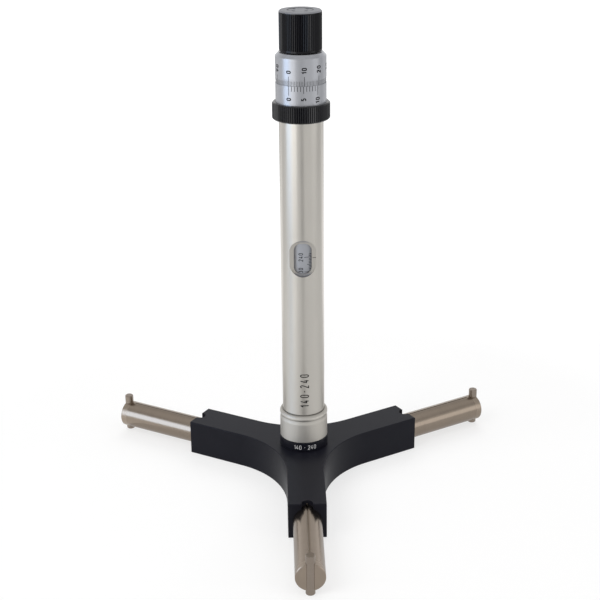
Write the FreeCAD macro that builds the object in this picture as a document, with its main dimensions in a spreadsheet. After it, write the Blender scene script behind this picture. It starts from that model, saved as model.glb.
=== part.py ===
import FreeCAD, Part
import math
import os
import Sketcher
from FreeCAD import Placement, Rotation, Vector

# Three-point inside micrometer. It stands on the flat foot of its three-armed head.
# Origin: middle of the foot. +Z runs up the handle, and the first arm points along -Y.
# Every height is measured from the foot, and every radius from the handle's axis.

SIZES = (
    # the head
    ("head_height", 19.4, "height of the arms"),
    ("arm_width", 19.6, "width of each arm"),
    ("arm_shortfall", 1.5, "how far an arm ends inside its contact face, spindle fully in"),
    ("arm_arc", 50.0, "radius of the hollow curve between two arms"),
    ("edge_round", 0.4, "rounding of the head's outer edges"),
    ("floor_thickness", 4.6, "metal under the gear chamber"),
    ("chamber_radius", 6.9, "radius of the gear chamber"),
    ("web_thickness", 1.9, "wall between the chamber and a spindle's bore"),
    # the measuring spindles and their pins
    ("contact_radius", 120.0, "radius of the contact faces, spindles fully out"),
    ("spindle_hold", 9.4, "length of a spindle left in its arm when fully out"),
    ("spindle_height", 9.55, "height of the spindles' axes"),
    ("spindle_diameter", 14.75, "diameter of a measuring spindle"),
    ("spindle_chamfer", 0.3, "chamfer of its ends"),
    ("spindle_rest_gap", 0.3, "gap behind a spindle that is fully in"),
    ("pin_diameter", 4.7, "diameter of a contact pin"),
    ("pin_proud", 0.9, "how far a pin stands in front of its spindle"),
    ("pin_foot", 0.1, "height of a pin's lower end"),
    ("pin_length", 21.15, "length of a pin"),
    ("pin_chamfer", 0.3, "chamfer of a pin's ends"),
    ("notch_clearance", 0.65, "room round a pin in the notch of its arm"),
    ("running_clearance", 0.05, "radial gap of the sliding and threaded fits"),
    ("bearing_clearance", 0.03, "radial gap of the plain bearings"),
    # the key that stops a spindle turning
    ("key_width", 1.2, "width of a guide key"),
    ("key_rise", 0.85, "how far a key stands up into the arm"),
    ("key_length", 3.4, "length of a key"),
    ("groove_width", 0.6, "width of the groove along a spindle"),
    ("groove_depth", 0.5, "depth of that groove"),
    # the lead screws
    ("screw_diameter", 4.0, "outside diameter of a lead screw's thread"),
    ("journal_diameter", 3.0, "diameter of a lead screw's journal"),
    ("stub_diameter", 2.4, "diameter of the stub that carries the pinion"),
    ("collar_diameter", 4.4, "diameter of the thrust collar"),
    ("collar_length", 0.6, "length of the thrust collar"),
    ("screw_bush_diameter", 5.2, "outside diameter of a lead screw's bush"),
    ("nut_length", 5.2, "threaded length inside a spindle"),
    ("relief_diameter", 5.0, "bore of a spindle beyond its thread"),
    ("spindle_end_wall", 1.2, "metal between that bore and the pin"),
    # the bevel gears
    ("gear_teeth", 18, "teeth of the bevel gear and of each pinion"),
    ("gear_pitch_radius", 4.2, "pitch radius at the large end"),
    ("gear_face", 1.5, "length of the teeth along the axis"),
    ("tooth_share", 0.4, "tooth thickness over pitch"),
    ("tooth_tip", 0.37, "height of a tooth above the pitch line"),
    ("tooth_root", 0.5, "depth of a tooth space below the pitch line"),
    ("pinion_hub_diameter", 5.0, "diameter of a pinion's hub"),
    ("gear_hub_diameter", 6.0, "diameter of the drive gear's hub"),
    ("gear_end_gap", 0.1, "end gap behind each gear's hub"),
    # the drive shaft
    ("foot_journal_diameter", 3.0, "lower journal of the drive shaft"),
    ("foot_journal_start", 2.0, "height of the shaft's lower end"),
    ("foot_bush_diameter", 5.0, "outside diameter of the foot bush"),
    ("foot_bush_length", 3.0, "length of the foot bush"),
    ("shaft_diameter", 6.0, "threaded part of the drive shaft"),
    ("shaft_bush_diameter", 10.0, "outside diameter of the shaft bush"),
    ("top_journal_diameter", 5.0, "upper journal of the drive shaft"),
    # the hub ring and the union nut
    ("hub_diameter", 26.1, "diameter of the black ring on the head"),
    ("hub_height", 5.1, "height of that ring"),
    ("hub_chamfer", 0.35, "chamfer of that ring"),
    ("spigot_diameter", 16.0, "spigot that enters the head"),
    ("spigot_length", 3.0, "length of that spigot"),
    ("hub_neck_diameter", 19.0, "neck inside the union nut"),
    ("hub_neck_length", 8.5, "length of that neck"),
    ("nut_diameter", 25.65, "body of the union nut"),
    ("nut_height", 15.7, "height of the union nut"),
    ("bead_diameter", 25.75, "bead at the top of the union nut"),
    ("bead_height", 3.2, "height of that bead"),
    ("bead_round", 1.35, "rounding of that bead's upper edge"),
    ("bead_slope", 1.2, "height of the slope under that bead"),
    ("nut_waist", 1.8, "height of the taper between that slope and the nut's body"),
    ("nut_waist_depth", 0.35, "how far the taper goes in at its top"),
    ("nut_relief", 0.15, "gap between the bead and the tube"),
    ("nut_relief_depth", 1.0, "depth of that gap"),
    # the handle tube
    ("tube_diameter", 22.5, "outside diameter of the handle tube"),
    ("tube_bore", 17.2, "bore of the handle tube"),
    ("shoulder_height", 200.0, "height of the tube's shoulder"),
    ("tube_chamfer", 0.3, "chamfer of the shoulder"),
    ("neck_diameter", 20.4, "neck above the shoulder"),
    ("neck_length", 24.0, "length of the neck above the shoulder"),
    ("window_middle", 129.3, "height of the window's middle"),
    ("window_width", 13.8, "width of the milled flat round the window"),
    ("window_length", 19.8, "length of that flat"),
    ("window_depth", 2.3, "depth of that flat"),
    ("slot_width", 9.2, "width of the slot in the flat"),
    ("slot_length", 16.3, "length of that slot"),
    ("slot_corner", 3.6, "radius of that slot's corners"),
    ("slot_drop", 0.5, "how far the slot's middle lies below the flat's"),
    # the scale sleeve
    ("scale_ratio", 1.6, "travel of the scale sleeve over that of a spindle"),
    ("sleeve_bottom", 40.5, "height of the sleeve's lower end, spindles out"),
    ("sleeve_length", 98.5, "length of the scale sleeve"),
    ("sleeve_bore", 14.0, "bore of the scale sleeve"),
    ("scale_nut_length", 8.0, "length of the nut inside the sleeve"),
    ("scale_key_width", 2.0, "width of the sleeve's key"),
    ("scale_key_length", 6.0, "length of the sleeve's key"),
    ("scale_key_lift", 1.0, "height of the key above the sleeve's lower end"),
    ("keyway_depth", 0.8, "depth of the keyway in the tube"),
    # the lock ring, vernier sleeve and thimble
    ("lock_diameter", 29.1, "diameter of the lock ring"),
    ("lock_height", 8.7, "height of the lock ring"),
    ("lock_gap", 0.25, "gap under the lock ring"),
    ("lock_chamfer", 0.7, "chamfer of the lock ring"),
    ("lock_flutes", 80, "flutes round the lock ring"),
    ("lock_flute_depth", 0.4, "depth of those flutes"),
    ("turning_gap", 0.05, "end gap between parts that turn on each other"),
    ("barrel_diameter", 25.45, "diameter of the vernier sleeve and thimble"),
    ("vernier_height", 9.6, "height of the vernier sleeve"),
    ("thimble_height", 14.9, "height of the thimble"),
    ("thimble_bevel", 0.25, "how far the thimble's lower edge tapers in"),
    ("thimble_bevel_height", 3.2, "height of that taper"),
    ("thimble_bore", 21.0, "inside diameter of the thimble"),
    ("thimble_web", 6.5, "thickness of the thimble's upper end"),
    ("thimble_shoulder", 1.7, "height of the sloping shoulder"),
    ("thimble_top_diameter", 22.3, "diameter above the shoulder"),
    ("cap_plug", 4.0, "depth of the bearing cap in the neck"),
    ("cap_flange", 2.0, "thickness of the bearing cap's flange"),
    # the ratchet knob
    ("knob_diameter", 21.3, "diameter of the ratchet knob"),
    ("knob_height", 19.7, "height of the ratchet knob"),
    ("knob_gap", 0.5, "gap between the thimble and the knob"),
    ("knob_chamfer", 0.6, "chamfer of the knob's upper end"),
    ("knob_foot_chamfer", 0.2, "chamfer of its lower end"),
    ("knob_flutes", 72, "flutes round the knob"),
    ("knob_flute_depth", 0.35, "depth of those flutes"),
    ("knob_band", 1.1, "plain band above and below those flutes"),
    ("knob_bore", 16.0, "bore of the knob"),
    ("knob_web_depth", 4.3, "depth of the recess in the knob's top"),
    ("knob_web", 1.5, "thickness of the web under that recess"),
    ("knob_cap_diameter", 12.4, "diameter of the disc in the knob's top"),
    ("knob_cap_thickness", 2.0, "thickness of that disc"),
    ("knob_cap_depth", 0.15, "how far the disc lies below the rim"),
    ("cap_hole_diameter", 1.9, "diameter of the disc's four holes"),
    ("cap_hole_depth", 1.4, "depth of those holes"),
    ("cap_hole_circle", 8.9, "circle of those holes"),
    ("wheel_diameter", 14.4, "diameter of the ratchet wheel"),
    ("wheel_hub_diameter", 8.4, "hub of the ratchet wheel"),
    ("wheel_hub_height", 1.5, "height of that hub"),
    ("wheel_thickness", 2.6, "thickness of the wheel with its teeth"),
    ("ratchet_teeth", 12, "teeth of the ratchet wheel"),
    ("ratchet_tooth", 0.6, "height of those teeth"),
    ("ratchet_ring_thickness", 2.5, "thickness of the sprung ring"),
    ("stop_nut_diameter", 9.0, "nut that keeps the knob on"),
    ("stop_nut_height", 1.35, "height of that nut"),
    ("stop_stub_diameter", 3.4, "threaded stub under that nut"),
    ("spring_wire", 0.8, "thickness of the ratchet spring's square wire"),
    ("spring_diameter", 12.6, "middle diameter of its coils"),
    ("spring_turns", 4, "turns of the ratchet spring"),
)

ARM_ANGLES = (-90.0, 30.0, 150.0)
CAP_HOLES = 4
CAP_HOLE_START = 40.0
FLUTE_SHARE = 0.8
TOOTH_TIP_SHARE = 0.55
TOOTH_ROOT_SHARE = 1.4
VEE_SPREAD = 2.0
CUT_PAST = 1.0
EDGE_TOLERANCE = 0.01

doc = FreeCAD.newDocument("inside_micrometer")
sheet = doc.addObject("Spreadsheet::Sheet", "Sizes")
for row, (alias, number, note) in enumerate(SIZES, 1):
    sheet.set("A%d" % row, alias)
    sheet.set("B%d" % row, str(number))
    sheet.setAlias("B%d" % row, alias)
    sheet.set("C%d" % row, note)
doc.recompute()


class Size:
    """A length with its value and the formula that binds it to the sheet."""

    def __init__(self, value, text):
        self.value = float(value)
        self.text = text

    @staticmethod
    def of(other):
        return other if isinstance(other, Size) else Size(other, "%.9g" % other)

    def __add__(self, other):
        other = Size.of(other)
        return Size(self.value + other.value, "(%s + %s)" % (self.text, other.text))

    def __sub__(self, other):
        other = Size.of(other)
        return Size(self.value - other.value, "(%s - %s)" % (self.text, other.text))

    def __mul__(self, other):
        other = Size.of(other)
        return Size(self.value * other.value, "(%s * %s)" % (self.text, other.text))

    def __truediv__(self, other):
        other = Size.of(other)
        return Size(self.value / other.value, "(%s / %s)" % (self.text, other.text))

    def __rsub__(self, other):
        return Size.of(other) - self


class Sheet:
    """The sheet's sizes by name."""

    def __init__(self):
        for alias, _number, _note in SIZES:
            setattr(self, alias, Size(sheet.get(alias), "Sizes." + alias))


s = Sheet()
ZERO = Size(0, "0")

# Heights and radii that several pieces share
spindle_radius = s.spindle_diameter / 2
bore_radius = spindle_radius + s.running_clearance
web_outside = s.chamber_radius + s.web_thickness
inner_stop = web_outside + s.spindle_rest_gap
measuring_travel = (s.contact_radius - s.arm_shortfall - s.spindle_hold - inner_stop) / 2
scale_travel = measuring_travel * s.scale_ratio
arm_reach = s.contact_radius - s.arm_shortfall - measuring_travel
spindle_outer = s.contact_radius - s.pin_proud
spindle_inner = inner_stop + measuring_travel
pin_radius = s.pin_diameter / 2
pin_axis = s.contact_radius - pin_radius
pin_seat_radius = pin_radius + s.bearing_clearance
relief_end = pin_axis - pin_seat_radius - s.spindle_end_wall
notch_radius = pin_radius + s.notch_clearance
notch_axis = pin_axis - measuring_travel
key_start = spindle_inner + s.spindle_rest_gap
key_end = key_start + s.key_length
groove_end = key_end + measuring_travel + s.spindle_rest_gap
spigot_bottom = s.head_height - s.spigot_length
hub_top = s.head_height + s.hub_height
tube_bottom = hub_top + s.hub_neck_length
nut_top = hub_top + s.nut_height
tube_radius = s.tube_diameter / 2
tube_bore_radius = s.tube_bore / 2
neck_radius = s.neck_diameter / 2
neck_top = s.shoulder_height + s.neck_length
lock_bottom = s.shoulder_height + s.lock_gap
lock_top = lock_bottom + s.lock_height
vernier_bottom = lock_top + s.turning_gap
vernier_top = vernier_bottom + s.vernier_height
thimble_bottom = vernier_top + s.turning_gap
thimble_top = thimble_bottom + s.thimble_height
barrel_radius = s.barrel_diameter / 2
cap_bottom = neck_top - s.cap_plug
cap_top = neck_top + s.cap_flange
gear_hub_end = spigot_bottom - s.gear_end_gap
knob_bottom = thimble_top + s.knob_gap
knob_top = knob_bottom + s.knob_height
knob_web_top = knob_top - s.knob_web_depth
knob_web_bottom = knob_web_top - s.knob_web
top_journal_radius = s.top_journal_diameter / 2
wheel_bottom = thimble_top + s.wheel_hub_height
wheel_top = wheel_bottom + s.wheel_thickness
ring_tips = wheel_top + s.turning_gap
ring_bottom = ring_tips + s.ratchet_tooth
ring_top = ring_bottom + s.ratchet_ring_thickness


def origin_part(body, role):
    """A plane or axis of the body's own origin."""
    for feature in body.Origin.OriginFeatures:
        if feature.Role == role:
            return feature
    raise ValueError("no origin feature " + role)


def new_body(name):
    body = doc.addObject("PartDesign::Body", name)
    body.Label = name
    return body


def new_sketch(body, name, plane, offset=None):
    """A sketch on one of the body's planes, moved along its normal by offset."""
    sketch = body.newObject("Sketcher::SketchObject", body.Name + "_" + name)
    sketch.AttachmentSupport = (origin_part(body, plane), [""])
    sketch.MapMode = "FlatFace"
    if offset is not None:
        sketch.setExpression(".AttachmentOffset.Base.z", offset.text)
    return sketch


def constrain(sketch, kind, *where):
    """Adds a constraint. A Size at its end is bound to the sheet."""
    if isinstance(where[-1], Size):
        number = where[-1].value
        if kind == "Angle":
            number = math.radians(number)
        index = sketch.addConstraint(Sketcher.Constraint(kind, *where[:-1], number))
        sketch.setExpression("Constraints[%d]" % index, where[-1].text)
    else:
        sketch.addConstraint(Sketcher.Constraint(kind, *where))


def place_point(sketch, geometry, point, across, up):
    """Holds one point of a sketch at its two distances from the origin."""
    for size, kind, axis in ((across, "DistanceX", -2), (up, "DistanceY", -1)):
        if size is ZERO:
            constrain(sketch, "PointOnObject", geometry, point, axis)
        elif size.value < 0:
            constrain(sketch, kind, geometry, point, -1, 1, ZERO - size)
        else:
            constrain(sketch, kind, -1, 1, geometry, point, size)


def polygon(sketch, corners):
    """A closed outline of straight lines through corners of (across, up) sizes."""
    count = len(corners)
    points = [Vector(across.value, up.value, 0) for across, up in corners]
    for i in range(count):
        sketch.addGeometry(Part.LineSegment(points[i], points[(i + 1) % count]), False)
    for i in range(count):
        constrain(sketch, "Coincident", i, 2, (i + 1) % count, 1)
    for i, (across, up) in enumerate(corners):
        place_point(sketch, i, 1, across, up)


def circle(sketch, across, up, radius):
    centre = Vector(across.value, up.value, 0)
    index = sketch.addGeometry(Part.Circle(centre, Vector(0, 0, 1), radius.value), False)
    place_point(sketch, index, 3, across, up)
    constrain(sketch, "Radius", index, radius)


def obround(sketch, low, high, radius):
    """An upright slot with round ends, whose end centres lie at low and high."""
    up = Vector(0, 0, 1)
    top = Part.Circle(Vector(0, high.value, 0), up, radius.value)
    bottom = Part.Circle(Vector(0, low.value, 0), up, radius.value)
    r = radius.value
    sketch.addGeometry(Part.ArcOfCircle(top, 0, math.pi), False)
    sketch.addGeometry(Part.LineSegment(Vector(-r, high.value, 0), Vector(-r, low.value, 0)), False)
    sketch.addGeometry(Part.ArcOfCircle(bottom, math.pi, 2 * math.pi), False)
    sketch.addGeometry(Part.LineSegment(Vector(r, low.value, 0), Vector(r, high.value, 0)), False)
    for i in range(4):
        constrain(sketch, "Tangent", i, 2, (i + 1) % 4, 1)
    constrain(sketch, "Equal", 0, 2)
    constrain(sketch, "Radius", 0, radius)
    place_point(sketch, 0, 3, ZERO, high)
    place_point(sketch, 2, 3, ZERO, low)


def rounded_box(sketch, low, high, half, corner):
    """An upright box from low to high, half wide to each side, with round corners."""
    side = half.value
    turn = corner.value
    near = side - turn
    top = high.value - turn
    bottom = low.value + turn
    out = Vector(0, 0, 1)
    corners = ((near, top), (-near, top), (-near, bottom), (near, bottom))
    ends = (
        ((near, high.value), (-near, high.value)),
        ((-side, top), (-side, bottom)),
        ((-near, low.value), (near, low.value)),
        ((side, bottom), (side, top)),
    )
    for i, (across, up) in enumerate(corners):
        arc = Part.Circle(Vector(across, up, 0), out, turn)
        quarter = math.pi / 2
        sketch.addGeometry(Part.ArcOfCircle(arc, i * quarter, (i + 1) * quarter), False)
        start, end = ends[i]
        sketch.addGeometry(Part.LineSegment(Vector(*start, 0), Vector(*end, 0)), False)
    for i in range(8):
        constrain(sketch, "Tangent", i, 2, (i + 1) % 8, 1)
    for i in (2, 4, 6):
        constrain(sketch, "Equal", 0, i)
    for i in (1, 5):
        constrain(sketch, "Horizontal", i)
    for i in (3, 7):
        constrain(sketch, "Vertical", i)
    constrain(sketch, "Radius", 0, corner)
    place_point(sketch, 0, 3, half - corner, high - corner)
    place_point(sketch, 4, 3, corner - half, low + corner)


def revolved(body, corners):
    """Turns a half outline of (radius, height) corners round the body's Z axis."""
    sketch = new_sketch(body, "profile", "XZ_Plane")
    polygon(sketch, corners)
    turn = body.newObject("PartDesign::Revolution", body.Name + "_turned")
    turn.Profile = sketch
    turn.ReferenceAxis = (sketch, ["V_Axis"])
    turn.Angle = 360
    doc.recompute()
    return turn


def padded(body, name, sketch, length):
    pad = body.newObject("PartDesign::Pad", body.Name + "_" + name)
    pad.Profile = sketch
    pad.setExpression("Length", length.text)
    doc.recompute()
    return pad


def cut(body, name, sketch, length, along_normal=False):
    """Cuts a sketch into the body, and makes sure that it took metal away."""
    before = body.Shape.Volume
    pocket = body.newObject("PartDesign::Pocket", body.Name + "_" + name)
    pocket.Profile = sketch
    pocket.Reversed = along_normal
    pocket.setExpression("Length", length.text)
    doc.recompute()
    if not body.Shape.Volume < before - 1e-6:
        raise ValueError("%s of %s cuts nothing" % (name, body.Name))
    return pocket


def repeated(body, name, features, count):
    """Repeats features evenly round the body's Z axis."""
    pattern = body.newObject("PartDesign::PolarPattern", body.Name + "_" + name)
    pattern.Originals = features
    pattern.Axis = (origin_part(body, "Z_Axis"), [""])
    pattern.Angle = 360
    if isinstance(count, Size):
        pattern.setExpression("Occurrences", count.text)
    else:
        pattern.Occurrences = count
    body.Tip = pattern
    doc.recompute()
    return pattern


def rounded(body, name, feature, radius, wanted):
    """Rounds the edges of a feature that pass the test wanted."""
    edges = ["Edge%d" % (i + 1) for i, edge in enumerate(feature.Shape.Edges) if wanted(edge)]
    if not edges:
        raise ValueError("no edge to round on " + body.Name)
    fillet = body.newObject("PartDesign::Fillet", body.Name + "_" + name)
    fillet.Base = (feature, edges)
    fillet.setExpression("Radius", radius.text)
    doc.recompute()
    return fillet


def edge_box(edge):
    """Lowest and highest point, least and greatest distance from the Z axis of an edge."""
    points = edge.discretize(9)
    heights = [p.z for p in points]
    radii = [math.hypot(p.x, p.y) for p in points]
    return min(heights), max(heights), min(radii), max(radii)


def lay_along_arm(body, angle):
    """Turns a piece drawn upright so that its Z axis runs out along an arm."""
    turn = Rotation(Vector(0, 0, 1), angle + 90) * Rotation(Vector(1, 0, 0), 90)
    body.Placement = Placement(Vector(0, 0, s.spindle_height.value), turn)
    body.setExpression(".Placement.Base.z", s.spindle_height.text)


def make_head_body():
    """The head: one third of its outline, repeated, then bored and notched."""
    body = new_body("head_body")
    half = s.arm_width / 2
    arc = s.arm_arc
    bisector = math.radians(60)
    arc_centre = (arc + half) / math.sin(bisector)
    tangent = arc_centre * math.cos(bisector)

    outline = new_sketch(body, "outline", "XY_Plane")
    centre_x = arc_centre.value * math.cos(bisector)
    centre_y = arc_centre.value * math.sin(bisector)
    waist = arc_centre.value - arc.value
    waist_x = waist * math.cos(bisector)
    waist_y = waist * math.sin(bisector)
    reach = arm_reach.value
    side = half.value
    out = Vector(0, 0, 1)
    left = Part.Circle(Vector(centre_x, centre_y, 0), out, arc.value)
    right = Part.Circle(Vector(centre_x, -centre_y, 0), out, arc.value)
    for line in (
        Part.LineSegment(Vector(0, 0, 0), Vector(waist_x, waist_y, 0)),
        Part.ArcOfCircle(left, math.radians(240), math.radians(270)),
        Part.LineSegment(Vector(tangent.value, side, 0), Vector(reach, side, 0)),
        Part.LineSegment(Vector(reach, side, 0), Vector(reach, -side, 0)),
        Part.LineSegment(Vector(reach, -side, 0), Vector(tangent.value, -side, 0)),
        Part.ArcOfCircle(right, math.radians(90), math.radians(120)),
        Part.LineSegment(Vector(waist_x, -waist_y, 0), Vector(0, 0, 0)),
    ):
        outline.addGeometry(line, False)
    constrain(outline, "Coincident", 0, 1, -1, 1)
    constrain(outline, "Coincident", 0, 2, 1, 1)
    constrain(outline, "Tangent", 1, 2, 2, 1)
    constrain(outline, "Coincident", 2, 2, 3, 1)
    constrain(outline, "Coincident", 3, 2, 4, 1)
    constrain(outline, "Tangent", 4, 2, 5, 1)
    constrain(outline, "Coincident", 5, 2, 6, 1)
    constrain(outline, "Coincident", 6, 2, -1, 1)
    constrain(outline, "Angle", -1, 1, 0, 1, bisector)
    constrain(outline, "Angle", 6, 2, -1, 1, bisector)
    constrain(outline, "PointOnObject", 1, 3, 0)
    constrain(outline, "PointOnObject", 5, 3, 6)
    constrain(outline, "Radius", 1, arc)
    constrain(outline, "Equal", 1, 5)
    constrain(outline, "Horizontal", 2)
    constrain(outline, "Horizontal", 4)
    constrain(outline, "Symmetric", 3, 1, 3, 2, -1)
    constrain(outline, "DistanceX", -1, 1, 3, 1, arm_reach)
    constrain(outline, "DistanceY", 3, 2, 3, 1, s.arm_width)
    arm = padded(body, "arm", outline, s.head_height)
    plate = repeated(body, "arms", [arm], len(ARM_ANGLES))

    height = s.head_height.value

    def outer_edge(edge):
        low, high, near, _far = edge_box(edge)
        level = high - low < EDGE_TOLERANCE and (high < EDGE_TOLERANCE or low > height - EDGE_TOLERANCE)
        return level or near > reach - EDGE_TOLERANCE

    rounded(body, "edges", plate, s.edge_round, outer_edge)

    bore = new_sketch(body, "bore", "YZ_Plane", web_outside)
    circle(bore, ZERO, s.spindle_height, bore_radius)
    bore_cut = cut(body, "bores", bore, arm_reach - web_outside + CUT_PAST, True)

    passage = new_sketch(body, "passage", "YZ_Plane", web_outside)
    circle(passage, ZERO, s.spindle_height, s.screw_bush_diameter / 2)
    passage_cut = cut(body, "passages", passage, s.web_thickness + CUT_PAST)

    notch = new_sketch(body, "notch", "XY_Plane")
    arc_end = Part.Circle(Vector(notch_axis.value, 0, 0), out, notch_radius.value)
    wide = notch_radius.value
    past = reach + CUT_PAST
    start = notch_axis.value
    notch.addGeometry(Part.ArcOfCircle(arc_end, math.pi / 2, 1.5 * math.pi), False)
    notch.addGeometry(Part.LineSegment(Vector(start, -wide, 0), Vector(past, -wide, 0)), False)
    notch.addGeometry(Part.LineSegment(Vector(past, -wide, 0), Vector(past, wide, 0)), False)
    notch.addGeometry(Part.LineSegment(Vector(past, wide, 0), Vector(start, wide, 0)), False)
    constrain(notch, "Tangent", 0, 2, 1, 1)
    constrain(notch, "Coincident", 1, 2, 2, 1)
    constrain(notch, "Coincident", 2, 2, 3, 1)
    constrain(notch, "Tangent", 3, 2, 0, 1)
    constrain(notch, "Horizontal", 1)
    constrain(notch, "Vertical", 2)
    constrain(notch, "Radius", 0, notch_radius)
    place_point(notch, 0, 3, notch_axis, ZERO)
    constrain(notch, "DistanceX", -1, 1, 2, 1, arm_reach + CUT_PAST)
    notch_cut = cut(body, "notches", notch, s.head_height, True)

    seat = new_sketch(body, "key_seat", "YZ_Plane", key_start)
    seat_low = s.spindle_height + bore_radius - s.groove_depth
    seat_high = s.spindle_height + bore_radius + s.key_rise
    seat_half = s.key_width / 2
    polygon(
        seat,
        (
            (ZERO - seat_half, seat_low),
            (seat_half, seat_low),
            (seat_half, seat_high),
            (ZERO - seat_half, seat_high),
        ),
    )
    seat_cut = cut(body, "key_seats", seat, notch_axis - key_start, True)
    repeated(body, "arm_cuts", [bore_cut, passage_cut, notch_cut, seat_cut], len(ARM_ANGLES))

    chamber = new_sketch(body, "chamber", "XY_Plane", s.floor_thickness)
    circle(chamber, ZERO, ZERO, s.chamber_radius)
    cut(body, "gear_chamber", chamber, s.head_height, True)
    seat = new_sketch(body, "hub_seat", "XY_Plane", spigot_bottom)
    circle(seat, ZERO, ZERO, s.spigot_diameter / 2)
    cut(body, "spigot_seat", seat, s.head_height, True)
    foot = new_sketch(body, "foot", "XY_Plane", s.floor_thickness - s.foot_bush_length)
    circle(foot, ZERO, ZERO, s.foot_bush_diameter / 2)
    cut(body, "foot_seat", foot, s.head_height, True)
    body.Placement = Placement(Vector(0, 0, 0), Rotation(Vector(0, 0, 1), ARM_ANGLES[0]))


def make_spindle(number, angle):
    """A measuring spindle: hollow for its lead screw, grooved for its key and its pin."""
    body = new_body("measuring_spindle_%d" % number)
    edge = s.spindle_chamfer
    counterbore = s.spindle_rest_gap + s.collar_length
    nut_radius = s.screw_diameter / 2 + s.running_clearance
    relief = s.relief_diameter / 2
    nut_start = spindle_inner + counterbore
    revolved(
        body,
        (
            (relief, spindle_inner),
            (spindle_radius - edge, spindle_inner),
            (spindle_radius, spindle_inner + edge),
            (spindle_radius, spindle_outer - edge),
            (spindle_radius - edge, spindle_outer),
            (ZERO, spindle_outer),
            (ZERO, relief_end),
            (relief, relief_end),
            (relief, nut_start + s.nut_length),
            (nut_radius, nut_start + s.nut_length),
            (nut_radius, nut_start),
            (relief, nut_start),
        ),
    )
    seat = new_sketch(body, "pin_seat", "XZ_Plane", s.spindle_diameter)
    circle(seat, ZERO, pin_axis, pin_seat_radius)
    cut(body, "pin_groove", seat, s.spindle_diameter * 2)
    groove = new_sketch(body, "groove", "XY_Plane", spindle_inner)
    half = s.groove_width / 2
    polygon(
        groove,
        (
            (ZERO - half, spindle_radius - s.groove_depth),
            (half, spindle_radius - s.groove_depth),
            (half, spindle_radius + CUT_PAST),
            (ZERO - half, spindle_radius + CUT_PAST),
        ),
    )
    cut(body, "key_groove", groove, groove_end - spindle_inner, True)
    lay_along_arm(body, angle)


def make_contact_pin(number, angle):
    body = new_body("contact_pin_%d" % number)
    revolved(
        body,
        (
            (ZERO, ZERO),
            (pin_radius - s.pin_chamfer, ZERO),
            (pin_radius, s.pin_chamfer),
            (pin_radius, s.pin_length - s.pin_chamfer),
            (pin_radius - s.pin_chamfer, s.pin_length),
            (ZERO, s.pin_length),
        ),
    )
    east = math.cos(math.radians(angle))
    north = math.sin(math.radians(angle))
    body.setExpression(".Placement.Base.x", (pin_axis * east).text)
    body.setExpression(".Placement.Base.y", (pin_axis * north).text)
    body.setExpression(".Placement.Base.z", s.pin_foot.text)


def make_guide_key(number, angle):
    """A flat key with a tongue, let into the roof of its arm's bore."""
    body = new_body("guide_key_%d" % number)
    half = s.key_width / 2
    tongue = s.groove_width / 2 - s.running_clearance
    roof = bore_radius + s.key_rise
    tip = spindle_radius - s.groove_depth + s.running_clearance
    section = new_sketch(body, "section", "XY_Plane", key_start)
    polygon(
        section,
        (
            (ZERO - half, bore_radius),
            (ZERO - tongue, bore_radius),
            (ZERO - tongue, tip),
            (tongue, tip),
            (tongue, bore_radius),
            (half, bore_radius),
            (half, roof),
            (ZERO - half, roof),
        ),
    )
    padded(body, "bar", section, s.key_length)
    lay_along_arm(body, angle)


def make_lead_screw(number, angle):
    body = new_body("lead_screw_%d" % number)
    stub = s.stub_diameter / 2
    journal = s.journal_diameter / 2
    collar = s.collar_diameter / 2
    thread = s.screw_diameter / 2
    stub_start = s.gear_pitch_radius - s.gear_face + s.gear_end_gap
    pinion_end = s.chamber_radius - s.gear_end_gap
    collar_start = web_outside + s.turning_gap
    collar_end = collar_start + s.collar_length
    screw_end = relief_end - measuring_travel - s.gear_end_gap
    revolved(
        body,
        (
            (ZERO, stub_start),
            (stub, stub_start),
            (stub, pinion_end),
            (journal, pinion_end),
            (journal, collar_start),
            (collar, collar_start),
            (collar, collar_end),
            (thread, collar_end),
            (thread, screw_end - s.spindle_rest_gap),
            (thread - s.spindle_rest_gap, screw_end),
            (ZERO, screw_end),
        ),
    )
    lay_along_arm(body, angle)


def make_screw_bush(number, angle):
    body = new_body("screw_bush_%d" % number)
    inside = s.journal_diameter / 2 + s.bearing_clearance
    outside = s.screw_bush_diameter / 2
    revolved(
        body,
        (
            (inside, s.chamber_radius),
            (outside, s.chamber_radius),
            (outside, web_outside),
            (inside, web_outside),
        ),
    )
    lay_along_arm(body, angle)


def bevel_teeth(first_tooth):
    """Straight bevel teeth whose every line runs to the apex, a gear with its axis on Z."""
    teeth = int(s.gear_teeth.value)
    pitch_radius = s.gear_pitch_radius.value
    step = 2 * math.pi / teeth
    tip = pitch_radius + s.tooth_tip.value
    root = pitch_radius - s.tooth_root.value
    at_pitch = step * s.tooth_share.value / 2
    at_tip = at_pitch * TOOTH_TIP_SHARE
    at_root = at_pitch * TOOTH_ROOT_SHARE

    def section(height):
        scale = height / pitch_radius
        points = []
        for tooth in range(teeth):
            middle = first_tooth + tooth * step
            for turn, radius in (
                (-at_root, root),
                (-at_pitch, pitch_radius),
                (-at_tip, tip),
                (at_tip, tip),
                (at_pitch, pitch_radius),
                (at_root, root),
            ):
                x = scale * radius * math.cos(middle + turn)
                y = scale * radius * math.sin(middle + turn)
                points.append(Vector(x, y, height))
        return Part.makePolygon(points + points[:1])

    small = section(pitch_radius - s.gear_face.value)
    large = section(pitch_radius)
    return Part.makeLoft([small, large], True, True)


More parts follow.
